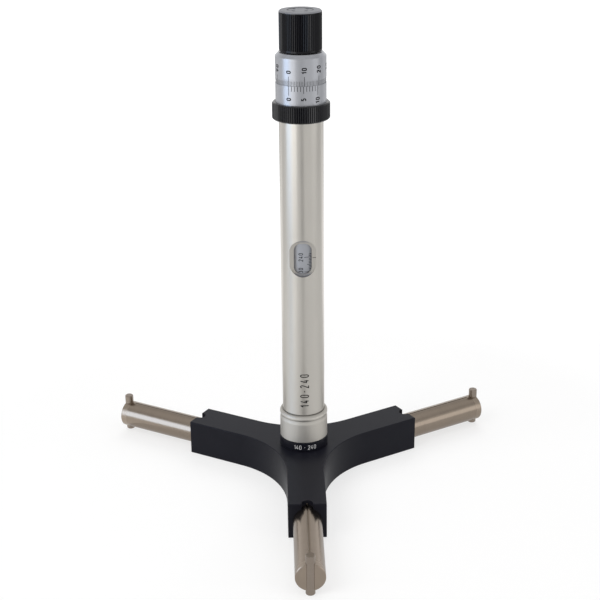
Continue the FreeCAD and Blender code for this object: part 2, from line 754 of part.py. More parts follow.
def make_bevel_pinion(number, angle):
    """A pinion with a tooth space towards the drive gear."""
    step = 2 * math.pi / s.gear_teeth.value
    blank = bevel_teeth(math.pi / 2 + step / 2)
    large_end = s.gear_pitch_radius.value
    hub_end = (s.chamber_radius - s.gear_end_gap).value
    hub = Part.makeCylinder(
        s.pinion_hub_diameter.value / 2, hub_end - large_end, Vector(0, 0, large_end)
    )
    bore = Part.makeCylinder(s.stub_diameter.value / 2, hub_end)
    pinion = doc.addObject("Part::Feature", "bevel_pinion_%d" % number)
    pinion.Label = "bevel_pinion_%d" % number
    pinion.Shape = blank.fuse(hub).cut(bore).removeSplitter()
    turn = Rotation(Vector(0, 0, 1), angle + 90) * Rotation(Vector(1, 0, 0), 90)
    pinion.Placement = Placement(Vector(0, 0, s.spindle_height.value), turn)


def make_drive_gear():
    """The gear above the three pinions, with a tooth over each of them."""
    blank = bevel_teeth(math.radians(ARM_ANGLES[0]))
    large_end = s.gear_pitch_radius.value
    hub_end = (gear_hub_end - s.spindle_height).value
    hub = Part.makeCylinder(
        s.gear_hub_diameter.value / 2, hub_end - large_end, Vector(0, 0, large_end)
    )
    bore = Part.makeCylinder(s.foot_journal_diameter.value / 2, hub_end)
    gear = doc.addObject("Part::Feature", "drive_bevel_gear")
    gear.Label = "drive_bevel_gear"
    gear.Shape = blank.fuse(hub).cut(bore).removeSplitter()
    gear.Placement = Placement(Vector(0, 0, s.spindle_height.value), Rotation())


def make_drive_shaft():
    body = new_body("drive_shaft")
    foot = s.foot_journal_diameter / 2
    thread = s.shaft_diameter / 2
    stub = s.stop_stub_diameter / 2
    journal_start = cap_bottom - s.knob_gap
    stub_start = knob_web_top + s.turning_gap
    revolved(
        body,
        (
            (ZERO, s.foot_journal_start),
            (foot, s.foot_journal_start),
            (foot, gear_hub_end),
            (thread, gear_hub_end),
            (thread, journal_start),
            (top_journal_radius, journal_start),
            (top_journal_radius, stub_start),
            (stub, stub_start),
            (stub, stub_start + s.stop_nut_height),
            (ZERO, stub_start + s.stop_nut_height),
        ),
    )


def make_bushes():
    """Plain bearings of the drive shaft in the head and in the hub ring."""
    foot = new_body("foot_bush")
    inside = s.foot_journal_diameter / 2 + s.bearing_clearance
    outside = s.foot_bush_diameter / 2
    bottom = s.floor_thickness - s.foot_bush_length
    top = s.floor_thickness
    revolved(foot, ((inside, bottom), (outside, bottom), (outside, top), (inside, top)))
    middle = new_body("shaft_bush")
    inside = s.shaft_diameter / 2 + s.bearing_clearance
    outside = s.shaft_bush_diameter / 2
    revolved(
        middle,
        (
            (inside, spigot_bottom),
            (outside, spigot_bottom),
            (outside, tube_bottom),
            (inside, tube_bottom),
        ),
    )


def make_hub_ring():
    body = new_body("hub_ring")
    radius = s.hub_diameter / 2
    bore = s.shaft_bush_diameter / 2
    spigot = s.spigot_diameter / 2
    neck = s.hub_neck_diameter / 2
    bottom = s.head_height
    edge = s.hub_chamfer
    revolved(
        body,
        (
            (bore, spigot_bottom),
            (spigot, spigot_bottom),
            (spigot, bottom),
            (radius - edge, bottom),
            (radius, bottom + edge),
            (radius, hub_top - edge),
            (radius - edge, hub_top),
            (neck, hub_top),
            (neck, tube_bottom),
            (bore, tube_bottom),
        ),
    )


def make_union_nut():
    body = new_body("union_nut")
    radius = s.nut_diameter / 2
    bead = s.bead_diameter / 2
    neck = s.hub_neck_diameter / 2
    edge = s.hub_chamfer
    bead_bottom = nut_top - s.bead_height
    blank = revolved(
        body,
        (
            (neck, hub_top),
            (radius - edge, hub_top),
            (radius, hub_top + edge),
            (radius, bead_bottom - s.nut_waist),
            (radius - s.nut_waist_depth, bead_bottom),
            (bead, bead_bottom + s.bead_slope),
            (bead, nut_top),
            (tube_radius + s.nut_relief, nut_top),
            (tube_radius + s.nut_relief, nut_top - s.nut_relief_depth),
            (tube_radius, nut_top - s.nut_relief_depth),
            (tube_radius, tube_bottom),
            (neck, tube_bottom),
        ),
    )
    top = nut_top.value
    rim = bead.value - EDGE_TOLERANCE

    def top_rim(edge):
        low, _high, near, _far = edge_box(edge)
        return low > top - EDGE_TOLERANCE and near > rim

    rounded(body, "bead", blank, s.bead_round, top_rim)


def make_handle_tube():
    """The tube with its window, its neck and the keyway of the scale sleeve."""
    body = new_body("handle_tube")
    edge = s.tube_chamfer
    revolved(
        body,
        (
            (tube_bore_radius, tube_bottom),
            (tube_radius, tube_bottom),
            (tube_radius, s.shoulder_height - edge),
            (tube_radius - edge, s.shoulder_height),
            (neck_radius, s.shoulder_height),
            (neck_radius, neck_top),
            (tube_bore_radius, neck_top),
        ),
    )
    flat_half = (s.window_length - s.window_width) / 2
    flat_plane = tube_radius - s.window_depth
    flat = new_sketch(body, "flat", "XZ_Plane", flat_plane)
    low = s.window_middle - flat_half
    high = s.window_middle + flat_half
    obround(flat, low, high, s.window_width / 2)
    cut(body, "window_flat", flat, s.window_depth + CUT_PAST, True)
    slot = new_sketch(body, "slot", "XZ_Plane", tube_radius)
    slot_low = s.window_middle - s.slot_drop - s.slot_length / 2
    rounded_box(slot, slot_low, slot_low + s.slot_length, s.slot_width / 2, s.slot_corner)
    cut(body, "window_slot", slot, tube_radius)

    keyway = new_sketch(body, "keyway", "XY_Plane", tube_bottom - CUT_PAST)
    half = s.scale_key_width / 2 + s.running_clearance
    deep = tube_bore_radius + s.keyway_depth
    polygon(
        keyway,
        (
            (ZERO - half, tube_bore_radius / 2),
            (half, tube_bore_radius / 2),
            (half, deep),
            (ZERO - half, deep),
        ),
    )
    key_top = s.sleeve_bottom + s.scale_key_lift + s.scale_key_length
    keyway_top = key_top + scale_travel + CUT_PAST
    cut(body, "scale_keyway", keyway, keyway_top - tube_bottom + CUT_PAST, True)


def make_bearing_cap():
    body = new_body("bearing_cap")
    inside = top_journal_radius + s.bearing_clearance
    revolved(
        body,
        (
            (inside, cap_bottom),
            (tube_bore_radius, cap_bottom),
            (tube_bore_radius, neck_top),
            (neck_radius, neck_top),
            (neck_radius, cap_top),
            (inside, cap_top),
        ),
    )


def make_scale():
    """The sleeve that carries the scale, the nut that lifts it and its key."""
    sleeve = new_body("scale_sleeve")
    inside = s.sleeve_bore / 2
    outside = tube_bore_radius - s.running_clearance
    bottom = s.sleeve_bottom
    top = bottom + s.sleeve_length
    revolved(sleeve, ((inside, bottom), (outside, bottom), (outside, top), (inside, top)))
    key_bottom = bottom + s.scale_key_lift
    key_top = key_bottom + s.scale_key_length
    half = s.scale_key_width / 2
    slot = new_sketch(sleeve, "key_slot", "XZ_Plane", ZERO - outside - CUT_PAST)
    polygon(
        slot,
        (
            (ZERO - half, key_bottom),
            (half, key_bottom),
            (half, key_top),
            (ZERO - half, key_top),
        ),
    )
    cut(sleeve, "key_slot_cut", slot, outside - inside / 2, True)

    nut = new_body("scale_nut")
    thread = s.shaft_diameter / 2 + s.running_clearance
    nut_end = bottom + s.scale_nut_length
    revolved(nut, ((thread, bottom), (inside, bottom), (inside, nut_end), (thread, nut_end)))

    key = doc.addObject("Part::Box", "scale_key")
    key.Label = "scale_key"
    key.setExpression("Length", s.scale_key_width.text)
    key.setExpression("Height", s.scale_key_length.text)
    key_tip = tube_bore_radius + s.keyway_depth - s.running_clearance
    key.setExpression("Width", (key_tip - inside).text)
    key.setExpression(".Placement.Base.x", (ZERO - half).text)
    key.setExpression(".Placement.Base.y", inside.text)
    key.setExpression(".Placement.Base.z", key_bottom.text)


def fluted(body, bottom, height, radius, depth, count):
    """Straight vee flutes all round a turned piece, from bottom over height."""
    sketch = new_sketch(body, "flute", "XY_Plane", bottom)
    over = depth / 2
    mouth = radius * math.pi * FLUTE_SHARE / count * ((depth.value + over.value) / depth.value)
    outer = radius + over
    polygon(sketch, ((radius - depth, ZERO), (outer, mouth), (outer, ZERO - mouth)))
    first = cut(body, "flute_cut", sketch, height, True)
    repeated(body, "flutes", [first], count)


def make_lock_ring():
    body = new_body("lock_ring")
    bore = neck_radius + s.running_clearance
    radius = s.lock_diameter / 2
    edge = s.lock_chamfer
    revolved(
        body,
        (
            (bore, lock_bottom),
            (radius - edge, lock_bottom),
            (radius, lock_bottom + edge),
            (radius, lock_top - edge),
            (radius - edge, lock_top),
            (bore, lock_top),
        ),
    )
    through = s.lock_height + 2 * CUT_PAST
    fluted(body, lock_bottom - CUT_PAST, through, radius, s.lock_flute_depth, s.lock_flutes)


def make_vernier_sleeve():
    body = new_body("vernier_sleeve")
    revolved(
        body,
        (
            (neck_radius, vernier_bottom),
            (barrel_radius, vernier_bottom),
            (barrel_radius, vernier_top),
            (neck_radius, vernier_top),
        ),
    )


def make_thimble():
    body = new_body("thimble")
    bore = s.thimble_bore / 2
    revolved(
        body,
        (
            (bore, thimble_bottom),
            (barrel_radius - s.thimble_bevel, thimble_bottom),
            (barrel_radius, thimble_bottom + s.thimble_bevel_height),
            (barrel_radius, thimble_top - s.thimble_shoulder),
            (s.thimble_top_diameter / 2, thimble_top),
            (top_journal_radius, thimble_top),
            (top_journal_radius, thimble_top - s.thimble_web),
            (bore, thimble_top - s.thimble_web),
        ),
    )


def face_teeth(body, level, towards_up):
    """Radial vee cuts that leave the ratchet's teeth on a flat face."""
    wide = s.ratchet_tooth * VEE_SPREAD
    deep = level - s.ratchet_tooth if towards_up else level + s.ratchet_tooth
    past = level + s.ratchet_tooth if towards_up else level - s.ratchet_tooth
    sketch = new_sketch(body, "vee", "YZ_Plane")
    polygon(sketch, ((ZERO, deep), (wide, past), (ZERO - wide, past)))
    first = cut(body, "vee_cut", sketch, s.knob_diameter, True)
    repeated(body, "teeth", [first], s.ratchet_teeth)


def make_ratchet():
    """The toothed wheel on the shaft, and the sprung ring that rides on it."""
    hub = s.wheel_hub_diameter / 2
    wheel_radius = s.wheel_diameter / 2
    wheel = new_body("ratchet_wheel")
    revolved(
        wheel,
        (
            (top_journal_radius, thimble_top),
            (hub, thimble_top),
            (hub, wheel_bottom),
            (wheel_radius, wheel_bottom),
            (wheel_radius, wheel_top),
            (hub, wheel_top),
            (hub, wheel_top - s.ratchet_tooth),
            (top_journal_radius, wheel_top - s.ratchet_tooth),
        ),
    )
    face_teeth(wheel, wheel_top, True)

    ring = new_body("ratchet_ring")
    inside = top_journal_radius + s.running_clearance
    outside = s.knob_bore / 2
    revolved(
        ring,
        (
            (inside, ring_bottom),
            (hub, ring_bottom),
            (hub, ring_tips),
            (wheel_radius, ring_tips),
            (wheel_radius, ring_bottom),
            (outside, ring_bottom),
            (outside, ring_top),
            (inside, ring_top),
        ),
    )
    face_teeth(ring, ring_tips, False)

    nut = new_body("stop_nut")
    low = knob_web_top + s.turning_gap
    high = low + s.stop_nut_height
    bore = s.stop_stub_diameter / 2
    radius = s.stop_nut_diameter / 2
    revolved(nut, ((bore, low), (radius, low), (radius, high), (bore, high)))


def make_ratchet_spring():
    """A coil spring of square wire between the sprung ring and the knob's web."""
    wire = s.spring_wire.value / 2
    radius = s.spring_diameter.value / 2
    low = ring_top.value + wire
    rise = knob_web_bottom.value - wire - low
    helix = Part.makeHelix(rise / s.spring_turns.value, rise, radius)
    helix.translate(Vector(0, 0, low))
    corners = [
        Vector(radius + across * wire, 0, low + up * wire)
        for across, up in ((-1, -1), (1, -1), (1, 1), (-1, 1), (-1, -1))
    ]
    section = Part.makePolygon(corners)
    spring = doc.addObject("Part::Feature", "ratchet_spring")
    spring.Label = "ratchet_spring"
    spring.Shape = Part.Wire(helix.Edges).makePipeShell([section], True, True)


def make_knob():
    body = new_body("ratchet_knob")
    radius = s.knob_diameter / 2
    edge = s.knob_chamfer
    foot_edge = s.knob_foot_chamfer
    bore = s.knob_bore / 2
    recess = s.knob_cap_diameter / 2
    hole = top_journal_radius + s.running_clearance
    revolved(
        body,
        (
            (bore, knob_bottom),
            (radius - foot_edge, knob_bottom),
            (radius, knob_bottom + foot_edge),
            (radius, knob_top - edge),
            (radius - edge, knob_top),
            (recess, knob_top),
            (recess, knob_web_top),
            (hole, knob_web_top),
            (hole, knob_web_bottom),
            (bore, knob_web_bottom),
        ),
    )
    plain = s.knob_height - s.knob_band - s.knob_band
    fluted(body, knob_bottom + s.knob_band, plain, radius, s.knob_flute_depth, s.knob_flutes)

    cap = new_body("knob_cap")
    cap_face = knob_top - s.knob_cap_depth
    low = cap_face - s.knob_cap_thickness
    revolved(cap, ((ZERO, low), (recess, low), (recess, cap_face), (ZERO, cap_face)))
    hole = new_sketch(cap, "hole", "XY_Plane", cap_face)
    first_turn = math.radians(CAP_HOLE_START)
    ring = s.cap_hole_circle / 2
    circle(hole, ring * math.cos(first_turn), ring * math.sin(first_turn), s.cap_hole_diameter / 2)
    first = cut(cap, "hole_cut", hole, s.cap_hole_depth)
    repeated(cap, "holes", [first], CAP_HOLES)


make_head_body()
for number, angle in enumerate(ARM_ANGLES, 1):
    make_spindle(number, angle)
    make_contact_pin(number, angle)
    make_guide_key(number, angle)
    make_lead_screw(number, angle)
    make_screw_bush(number, angle)
    make_bevel_pinion(number, angle)
make_drive_gear()
make_drive_shaft()
make_bushes()
make_hub_ring()
make_union_nut()
make_handle_tube()
make_bearing_cap()
make_scale()
make_lock_ring()
make_vernier_sleeve()
make_thimble()
make_ratchet()
make_ratchet_spring()
make_knob()
doc.recompute()

# Every object is checked before any file is written
for thing in doc.Objects:
    if "Invalid" in thing.State or "Error" in thing.State:
        raise ValueError("%s failed: %s" % (thing.Name, thing.State))
pieces = [
    thing
    for thing in doc.Objects
    if thing.TypeId in ("PartDesign::Body", "Part::Feature", "Part::Box")
]
for piece in pieces:
    if piece.Shape.isNull() or not piece.Shape.isValid() or len(piece.Shape.Solids) != 1:
        raise ValueError("%s has no sound solid" % piece.Label)
os.makedirs("parts", exist_ok=True)
for piece in pieces:
    piece.Shape.exportStep("parts/%s.step" % piece.Label)
    print(piece.Label, round(piece.Shape.Volume, 2))
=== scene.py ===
"""Finishes, engraved markings and studio for a three-point inside micrometer."""

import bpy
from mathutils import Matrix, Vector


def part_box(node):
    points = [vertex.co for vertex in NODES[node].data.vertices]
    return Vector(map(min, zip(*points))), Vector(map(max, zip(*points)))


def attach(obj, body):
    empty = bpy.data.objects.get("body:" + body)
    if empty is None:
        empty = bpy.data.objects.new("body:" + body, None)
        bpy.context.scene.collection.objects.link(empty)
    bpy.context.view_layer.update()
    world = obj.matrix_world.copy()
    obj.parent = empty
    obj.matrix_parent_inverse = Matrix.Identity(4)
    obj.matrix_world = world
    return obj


bl_info = {
    "name": "Inside Micrometer Finish",
    "version": (1, 0, 0),
    "blender": (4, 5, 0),
    "location": "View3D > Sidebar > Micrometer",
    "description": "Gives a three-point inside micrometer its finishes, markings and studio",
    "category": "Object",
}

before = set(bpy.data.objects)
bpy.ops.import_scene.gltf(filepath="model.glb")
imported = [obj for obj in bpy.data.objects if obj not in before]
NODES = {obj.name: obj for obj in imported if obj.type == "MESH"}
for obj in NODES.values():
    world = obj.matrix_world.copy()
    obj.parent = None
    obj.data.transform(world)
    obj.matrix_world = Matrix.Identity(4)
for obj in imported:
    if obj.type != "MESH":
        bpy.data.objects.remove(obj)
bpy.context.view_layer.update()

import math

import bmesh
import bpy
from mathutils import Matrix, Vector

MM = 0.001
ARMS = {1: (0.0, -1.0, 0.0), 2: (0.8660254, 0.5, 0.0), 3: (-0.8660254, 0.5, 0.0)}

# Height of the reading line in the window, and the angle of both barrels' zero lines.
READING_HEIGHT = 129.4 * MM
READING_ANGLE = math.radians(-29.4)

# How far the barrels' lines stay clear of the edge that they start at.
EDGE_GAP = 0.05 * MM

# The joint round the disc in the knob's top, with a painted dark line for the shade in its
# recess: its radius and half its width.
CAP_EDGE = 6.35 * MM
CAP_EDGE_HALF = 0.22 * MM
CAP_EDGE_SHADE = 0.12

# How far the knob's bare top is metal, what the painted shade line at the joint takes from that,
# and how matt it is.
CROWN_METAL = 0.85
CROWN_JOINT_LOSS = 0.6
CROWN_DULLNESS = 0.34

# Brightness of the room that the metal shows, from the nadir (0) over the horizon (0.5)
# to the zenith (1).
SKY_BANDS = (
    (0.00, 0.72),
    (0.50, 1.00),
    (0.58, 1.00),
    (0.66, 0.80),
    (0.78, 0.72),
    (0.84, 0.50),
    (0.90, 0.66),
    (1.00, 0.80),
)


def half_width(node):
    """Radius of a turned node, from its box."""
    low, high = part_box(node)
    return (high.x - low.x) / 2


def low_end(node):
    """Height of a node's lower end."""
    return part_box(node)[0].z


def high_end(node):
    """Height of a node's upper end."""
    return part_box(node)[1].z


class FinishSettings(bpy.types.PropertyGroup):
    """Colours and polish of the metal."""

    anodised: bpy.props.FloatVectorProperty(
        name="Anodised",
        description="Colour of the black anodised head, rings and knob",
        subtype="COLOR",
        default=(0.0085, 0.0088, 0.0145),
        min=0.0,
        max=1.0,
    )
    anodised_light: bpy.props.FloatVectorProperty(
        name="Anodised, light",
        description="Colour of the paler grains in the anodised skin",
        subtype="COLOR",
        default=(0.0160, 0.0165, 0.0210),
        min=0.0,
        max=1.0,
    )
    crown: bpy.props.FloatVectorProperty(
        name="Crown",
        description="Colour of the knob's turned top",
        subtype="COLOR",
        default=(0.330, 0.335, 0.360),
        min=0.0,
        max=1.0,
    )
    chrome: bpy.props.FloatVectorProperty(
        name="Satin chrome",
        description="Colour of the handle tube and the union nut",
        subtype="COLOR",
        default=(0.615, 0.590, 0.545),
        min=0.0,
        max=1.0,
    )
    barrel_chrome: bpy.props.FloatVectorProperty(
        name="Barrel chrome",
        description="Colour of the thimble, the vernier sleeve and the scale sleeve",
        subtype="COLOR",
        default=(0.465, 0.475, 0.505),
        min=0.0,
        max=1.0,
    )
    steel: bpy.props.FloatVectorProperty(
        name="Ground steel",
        description="Colour of the measuring spindles",
        subtype="COLOR",
        default=(0.336, 0.277, 0.224),
        min=0.0,
        max=1.0,
    )
    carbide: bpy.props.FloatVectorProperty(
        name="Hard metal",
        description="Colour of the contact pins",
        subtype="COLOR",
        default=(0.340, 0.286, 0.240),
        min=0.0,
        max=1.0,
    )
    chrome_roughness: bpy.props.FloatProperty(
        name="Chrome roughness",
        description="Roughness of the satin chrome",
        subtype="FACTOR",
        default=0.30,
        min=0.0,
        max=1.0,
    )
    steel_roughness: bpy.props.FloatProperty(
        name="Steel roughness",
        description="Roughness of the ground steel",
        subtype="FACTOR",
        default=0.22,
        min=0.0,
        max=1.0,
    )
    anodised_roughness: bpy.props.FloatProperty(
        name="Anodised roughness",
        description="Roughness of the anodised skin",
        subtype="FACTOR",
        default=0.34,
        min=0.0,
        max=1.0,
    )


class MarkSettings(bpy.types.PropertyGroup):
    """Sizes of the engraved lines and numbers."""

    line_width: bpy.props.FloatProperty(
        name="Line width",
        description="Width of a graduation line",
        subtype="DISTANCE",
        default=0.26 * MM,
        min=0.0,
        precision=5,
    )
    proud: bpy.props.FloatProperty(
        name="Ink height",
        description="How far the filling of a mark stands out of the metal",
        subtype="DISTANCE",
        default=0.012 * MM,
        min=0.0,
        precision=6,
    )
    sunk: bpy.props.FloatProperty(
        name="Ink depth",
        description="How far the filling of a mark goes into the metal",
        subtype="DISTANCE",
        default=0.06 * MM,
        min=0.0,
        precision=6,
    )
    barrel_digit: bpy.props.FloatProperty(
        name="Barrel digits",
        description="Height of the numbers on the thimble and the vernier",
        subtype="DISTANCE",
        default=2.6 * MM,
        min=0.0,
        precision=5,
    )
    scale_digit: bpy.props.FloatProperty(
        name="Scale digits",
        description="Height of the numbers on the scale sleeve",
        subtype="DISTANCE",
        default=2.45 * MM,
        min=0.0,
        precision=5,
    )
    tube_digit: bpy.props.FloatProperty(
        name="Tube digits",
        description="Height of the range that stands on the handle tube",
        subtype="DISTANCE",
        default=4.8 * MM,
        min=0.0,
        precision=5,
    )
    hub_digit: bpy.props.FloatProperty(
        name="Hub digits",
        description="Height of the range that stands on the hub ring",
        subtype="DISTANCE",
        default=2.6 * MM,
        min=0.0,
        precision=5,
    )
    smallest: bpy.props.IntProperty(
        name="Smallest bore",
        description="Lower end of the measuring range, in millimetres",
        default=140,
        min=1,
    )
    largest: bpy.props.IntProperty(
        name="Largest bore",
        description="Upper end of the measuring range, in millimetres",
        default=240,
        min=1,
    )


class StudioSettings(bpy.types.PropertyGroup):
    """Camera and lamps."""

    camera_distance: bpy.props.FloatProperty(
        name="Camera distance",
        description="Level distance of the camera from the handle's axis",
        subtype="DISTANCE",
        default=0.6336,
        min=0.01,
    )
    camera_height: bpy.props.FloatProperty(
        name="Camera height",
        description="Height of the camera over the floor",
        subtype="DISTANCE",
        default=0.3494,
        min=0.0,
    )
    camera_azimuth: bpy.props.FloatProperty(
        name="Camera azimuth",
        description="How far the camera stands to the left of the first arm",
        subtype="ANGLE",
        default=math.radians(1.21),
    )
    camera_yaw: bpy.props.FloatProperty(
        name="Camera yaw",
        description="How far the camera looks to the right of its own azimuth",
        subtype="ANGLE",
        default=math.radians(-0.13),
    )
    camera_pitch: bpy.props.FloatProperty(
        name="Camera pitch",
        description="How far the camera looks down",
        subtype="ANGLE",
        default=math.radians(21.28),
    )
    camera_roll: bpy.props.FloatProperty(
        name="Camera roll",
        description="Roll of the camera",
        subtype="ANGLE",
        default=math.radians(-0.54),
    )
    camera_lens: bpy.props.FloatProperty(
        name="Lens",
        description="Focal length over a 36 mm sensor",
        default=77.37,
        min=1.0,
    )
    key_power: bpy.props.FloatProperty(
        name="Key lamp",
        description="Power of the large lamp at the left",
        subtype="POWER",
        default=5.0,
        min=0.0,
    )
    fill_power: bpy.props.FloatProperty(
        name="Fill lamp",
        description="Power of the lamp at the right",
        subtype="POWER",
        default=1.7,
        min=0.0,
    )
    back_power: bpy.props.FloatProperty(
        name="Back lamp",
        description="Power of the lamp behind and above",
        subtype="POWER",
        default=3.0,
        min=0.0,
    )
    ambient: bpy.props.FloatProperty(
        name="Ambient",
        description="Strength of the world on matt surfaces",
        default=0.55,
        min=0.0,
    )


class Wire:
    """An output socket that adds Math nodes when it is used in an expression."""

    def __init__(self, finish, socket):
        self.finish = finish
        self.socket = socket

    def maths(self, operation, first, second=None):
        values = {0: first}
        if second is not None:
            values[1] = second
        return self.finish.node("ShaderNodeMath", {"operation": operation}, values)

    def __add__(self, other):
        return self.maths("ADD", self, other)

    def __radd__(self, other):
        return self.maths("ADD", other, self)

    def __sub__(self, other):
        return self.maths("SUBTRACT", self, other)

    def __rsub__(self, other):
        return self.maths("SUBTRACT", other, self)

    def __mul__(self, other):
        return self.maths("MULTIPLY", self, other)

    def __rmul__(self, other):
        return self.maths("MULTIPLY", other, self)

    def __truediv__(self, other):
        return self.maths("DIVIDE", self, other)

    def __abs__(self):
        return self.maths("ABSOLUTE", self)

    def __gt__(self, other):
        return self.maths("GREATER_THAN", self, other)

    def minimum(self, other):
        return self.maths("MINIMUM", self, other)

    def maximum(self, other):
        return self.maths("MAXIMUM", self, other)

    def clamped(self):
        return self.maximum(0.0).minimum(1.0)

    def swing(self, size):
        """Noise from 0 to 1 as a swing about zero."""
        return (self - 0.5) * size

    def within(self, middle, half):
        """1 where the value lies no further than half from the middle."""
        return 1.0 - (abs(self - middle) > half)


class Finish:
    """A node tree under construction, for a material or the world."""

    def __init__(self, owner):
        owner.use_nodes = True
        self.owner = owner
        self.tree = owner.node_tree
        self.tree.nodes.clear()

    def node(self, kind, settings=None, inputs=None, output=0):
        """Adds a node, sets it up, feeds its sockets and gives one of its outputs."""
        made = self.tree.nodes.new(kind)
        for name, value in (settings or {}).items():
            if name == "stops":
                self.set_stops(made.color_ramp, value)
            else:
                setattr(made, name, value)
        for key, value in (inputs or {}).items():
            self.feed(made.inputs[key], value)
        return Wire(self, made.outputs[output]) if made.outputs else None

    def feed(self, socket, value):
        if isinstance(value, Wire):
            self.tree.links.new(value.socket, socket)
        elif isinstance(value, (int, float)):
            socket.default_value = value
        else:
            wanted = len(socket.default_value)
            socket.default_value = tuple(value) + (1.0,) * (wanted - len(value))

    def set_stops(self, ramp, stops):
        while len(ramp.elements) < len(stops):
            ramp.elements.new(1.0)
        for element, (place, level) in zip(ramp.elements, stops):
            element.position = place
            element.color = (level, level, level, 1.0)

    def place(self):
        """Position on the object at rest, in metres."""
        return self.node("ShaderNodeTexCoord", output="Object")

    def parts(self, vector):
        made = self.tree.nodes.new("ShaderNodeSeparateXYZ")
        self.tree.links.new(vector.socket, made.inputs[0])
        return [Wire(self, made.outputs[i]) for i in range(3)]

    def stretched(self, vector, factors):
        settings = {"operation": "MULTIPLY"}
        return self.node("ShaderNodeVectorMath", settings, {0: vector, 1: factors})

    def along(self, vector, direction):
        """Distance along a direction."""
        settings = {"operation": "DOT_PRODUCT"}
        return self.node("ShaderNodeVectorMath", settings, {0: vector, 1: direction}, "Value")

    def length(self, vector):
        return self.node("ShaderNodeVectorMath", {"operation": "LENGTH"}, {0: vector}, "Value")

    def reach(self, place):
        """Distance from the handle's axis."""
        return self.length(self.stretched(place, (1.0, 1.0, 0.0)))

    def grains(self, vector, size, detail=2.0):
        """Noise with grains of a given size in metres."""
        inputs = {"Vector": vector, "Scale": 1.0 / size, "Detail": detail}
        return self.node("ShaderNodeTexNoise", {}, inputs, "Fac")

    def turning_lines(self, distance, size):
        """Noise that changes along one distance only, as a tool leaves it."""
        inputs = {"W": distance, "Scale": 1.0 / size, "Detail": 1.0}
        return self.node("ShaderNodeTexNoise", {"noise_dimensions": "1D"}, inputs, "Fac")

    def blend(self, factor, first, second):
        """One colour into another by a factor."""
        settings = {"data_type": "RGBA"}
        inputs = {"Factor": factor, 6: first, 7: second}
        return self.node("ShaderNodeMix", settings, inputs, 2)

    def bump(self, height, depth, strength=1.0):
        inputs = {"Height": height, "Distance": depth, "Strength": strength}
        return self.node("ShaderNodeBump", {}, inputs)

    def surface(self, **sockets):
        """The closing shader. A name's underscores stand for the socket's spaces."""
        inputs = {name.replace("_", " "): value for name, value in sockets.items()}
        shader = self.node("ShaderNodeBsdfPrincipled", {}, inputs)
        self.node("ShaderNodeOutputMaterial", {}, {"Surface": shader})
        return self.owner


def new_finish(name):
    return Finish(bpy.data.materials.new(name))


def shade(colour, level):
    """A colour made lighter or darker."""
    return tuple(channel * level for channel in colour)


def tinted(colour, tint):
    """A colour with each channel made lighter or darker."""
    return tuple(channel * level for channel, level in zip(colour, tint))


def anodised_finish(name, settings, roughness, shine, depth=1.0, crown=None):
    """Black anodised aluminium: a fine grain with paler specks, bare above the crown, with a
    painted shade line round the cap's disc.
    """
    finish = new_finish(name)
    place = finish.place()
    fine = finish.grains(place, 0.35 * MM, 3.0)
    cloud = finish.grains(place, 7.0 * MM)
    specks = ((fine - 0.62) * 6.0).clamped()
    mixed = (specks * 0.6 + cloud * 0.35).minimum(1.0)
    dark, light = shade(settings.anodised, depth), shade(settings.anodised_light, depth)
    colour = finish.blend(mixed, dark, light)
    polish = roughness + cloud.swing(0.10) + fine.swing(0.06)
    metal = 0.0
    if crown:
        above = finish.parts(place)[2] > crown
        # Painted shade: a dark, less metallic line round the cap's disc, in place of the shade in
        # its recess.
        painted_joint_shade = finish.reach(place).within(CAP_EDGE, CAP_EDGE_HALF)
        bare = finish.blend(painted_joint_shade, settings.crown, shade(settings.crown, CAP_EDGE_SHADE))
        colour = finish.blend(above, colour, bare)
        metal = above * (CROWN_METAL - painted_joint_shade * CROWN_JOINT_LOSS)
        polish = polish + above * CROWN_DULLNESS
    normal = finish.bump(fine, 0.002 * MM, 0.5)
    return finish.surface(
        Base_Color=colour,
        Metallic=metal,
        Roughness=polish,
        Normal=normal,
        Specular_IOR_Level=shine,
    )


def chrome_finish(name, colour, roughness, brushed=0.6, tube=None, bands=()):
    """Satin chrome: turning lines round Z under a fine blasted grain, with bands of painted shade
    and highlight.

    A band is its lower and upper height in millimetres and how light its colour is, as painted
    shade or painted highlight.
    """
    finish = new_finish(name)
    place = finish.place()
    height = finish.parts(place)[2]
    lines = finish.turning_lines(height, 0.4 * MM)
    grain = finish.grains(place, 0.5 * MM, 2.0)
    cloud = finish.grains(finish.stretched(place, (1.0, 1.0, 0.35)), 6.0 * MM)
    tint = (cloud * 0.6 + grain * 0.2 + lines * 0.2).clamped()
    metal = finish.blend(tint, shade(colour, 0.96), shade(colour, 1.04))
    polish = roughness + cloud.swing(0.06) + lines.swing(0.04)
    if tube:
        metal, polish = tube_finish(finish, place, colour, metal, polish, tube)
    # Painted shade and painted highlight: bands of darker or lighter colour by height.
    for low, high, level in bands:
        inside = (height > low * MM) * (1.0 - (height > high * MM))
        metal = finish.blend(inside, metal, shade(colour, level))
    normal = finish.bump(lines * 0.5 + grain, 0.0004 * MM, 0.5)
    return finish.surface(
        Base_Color=metal,
        Metallic=1.0,
        Roughness=polish,
        Normal=normal,
        Anisotropic=brushed,
        Anisotropic_Rotation=0.25,
    )


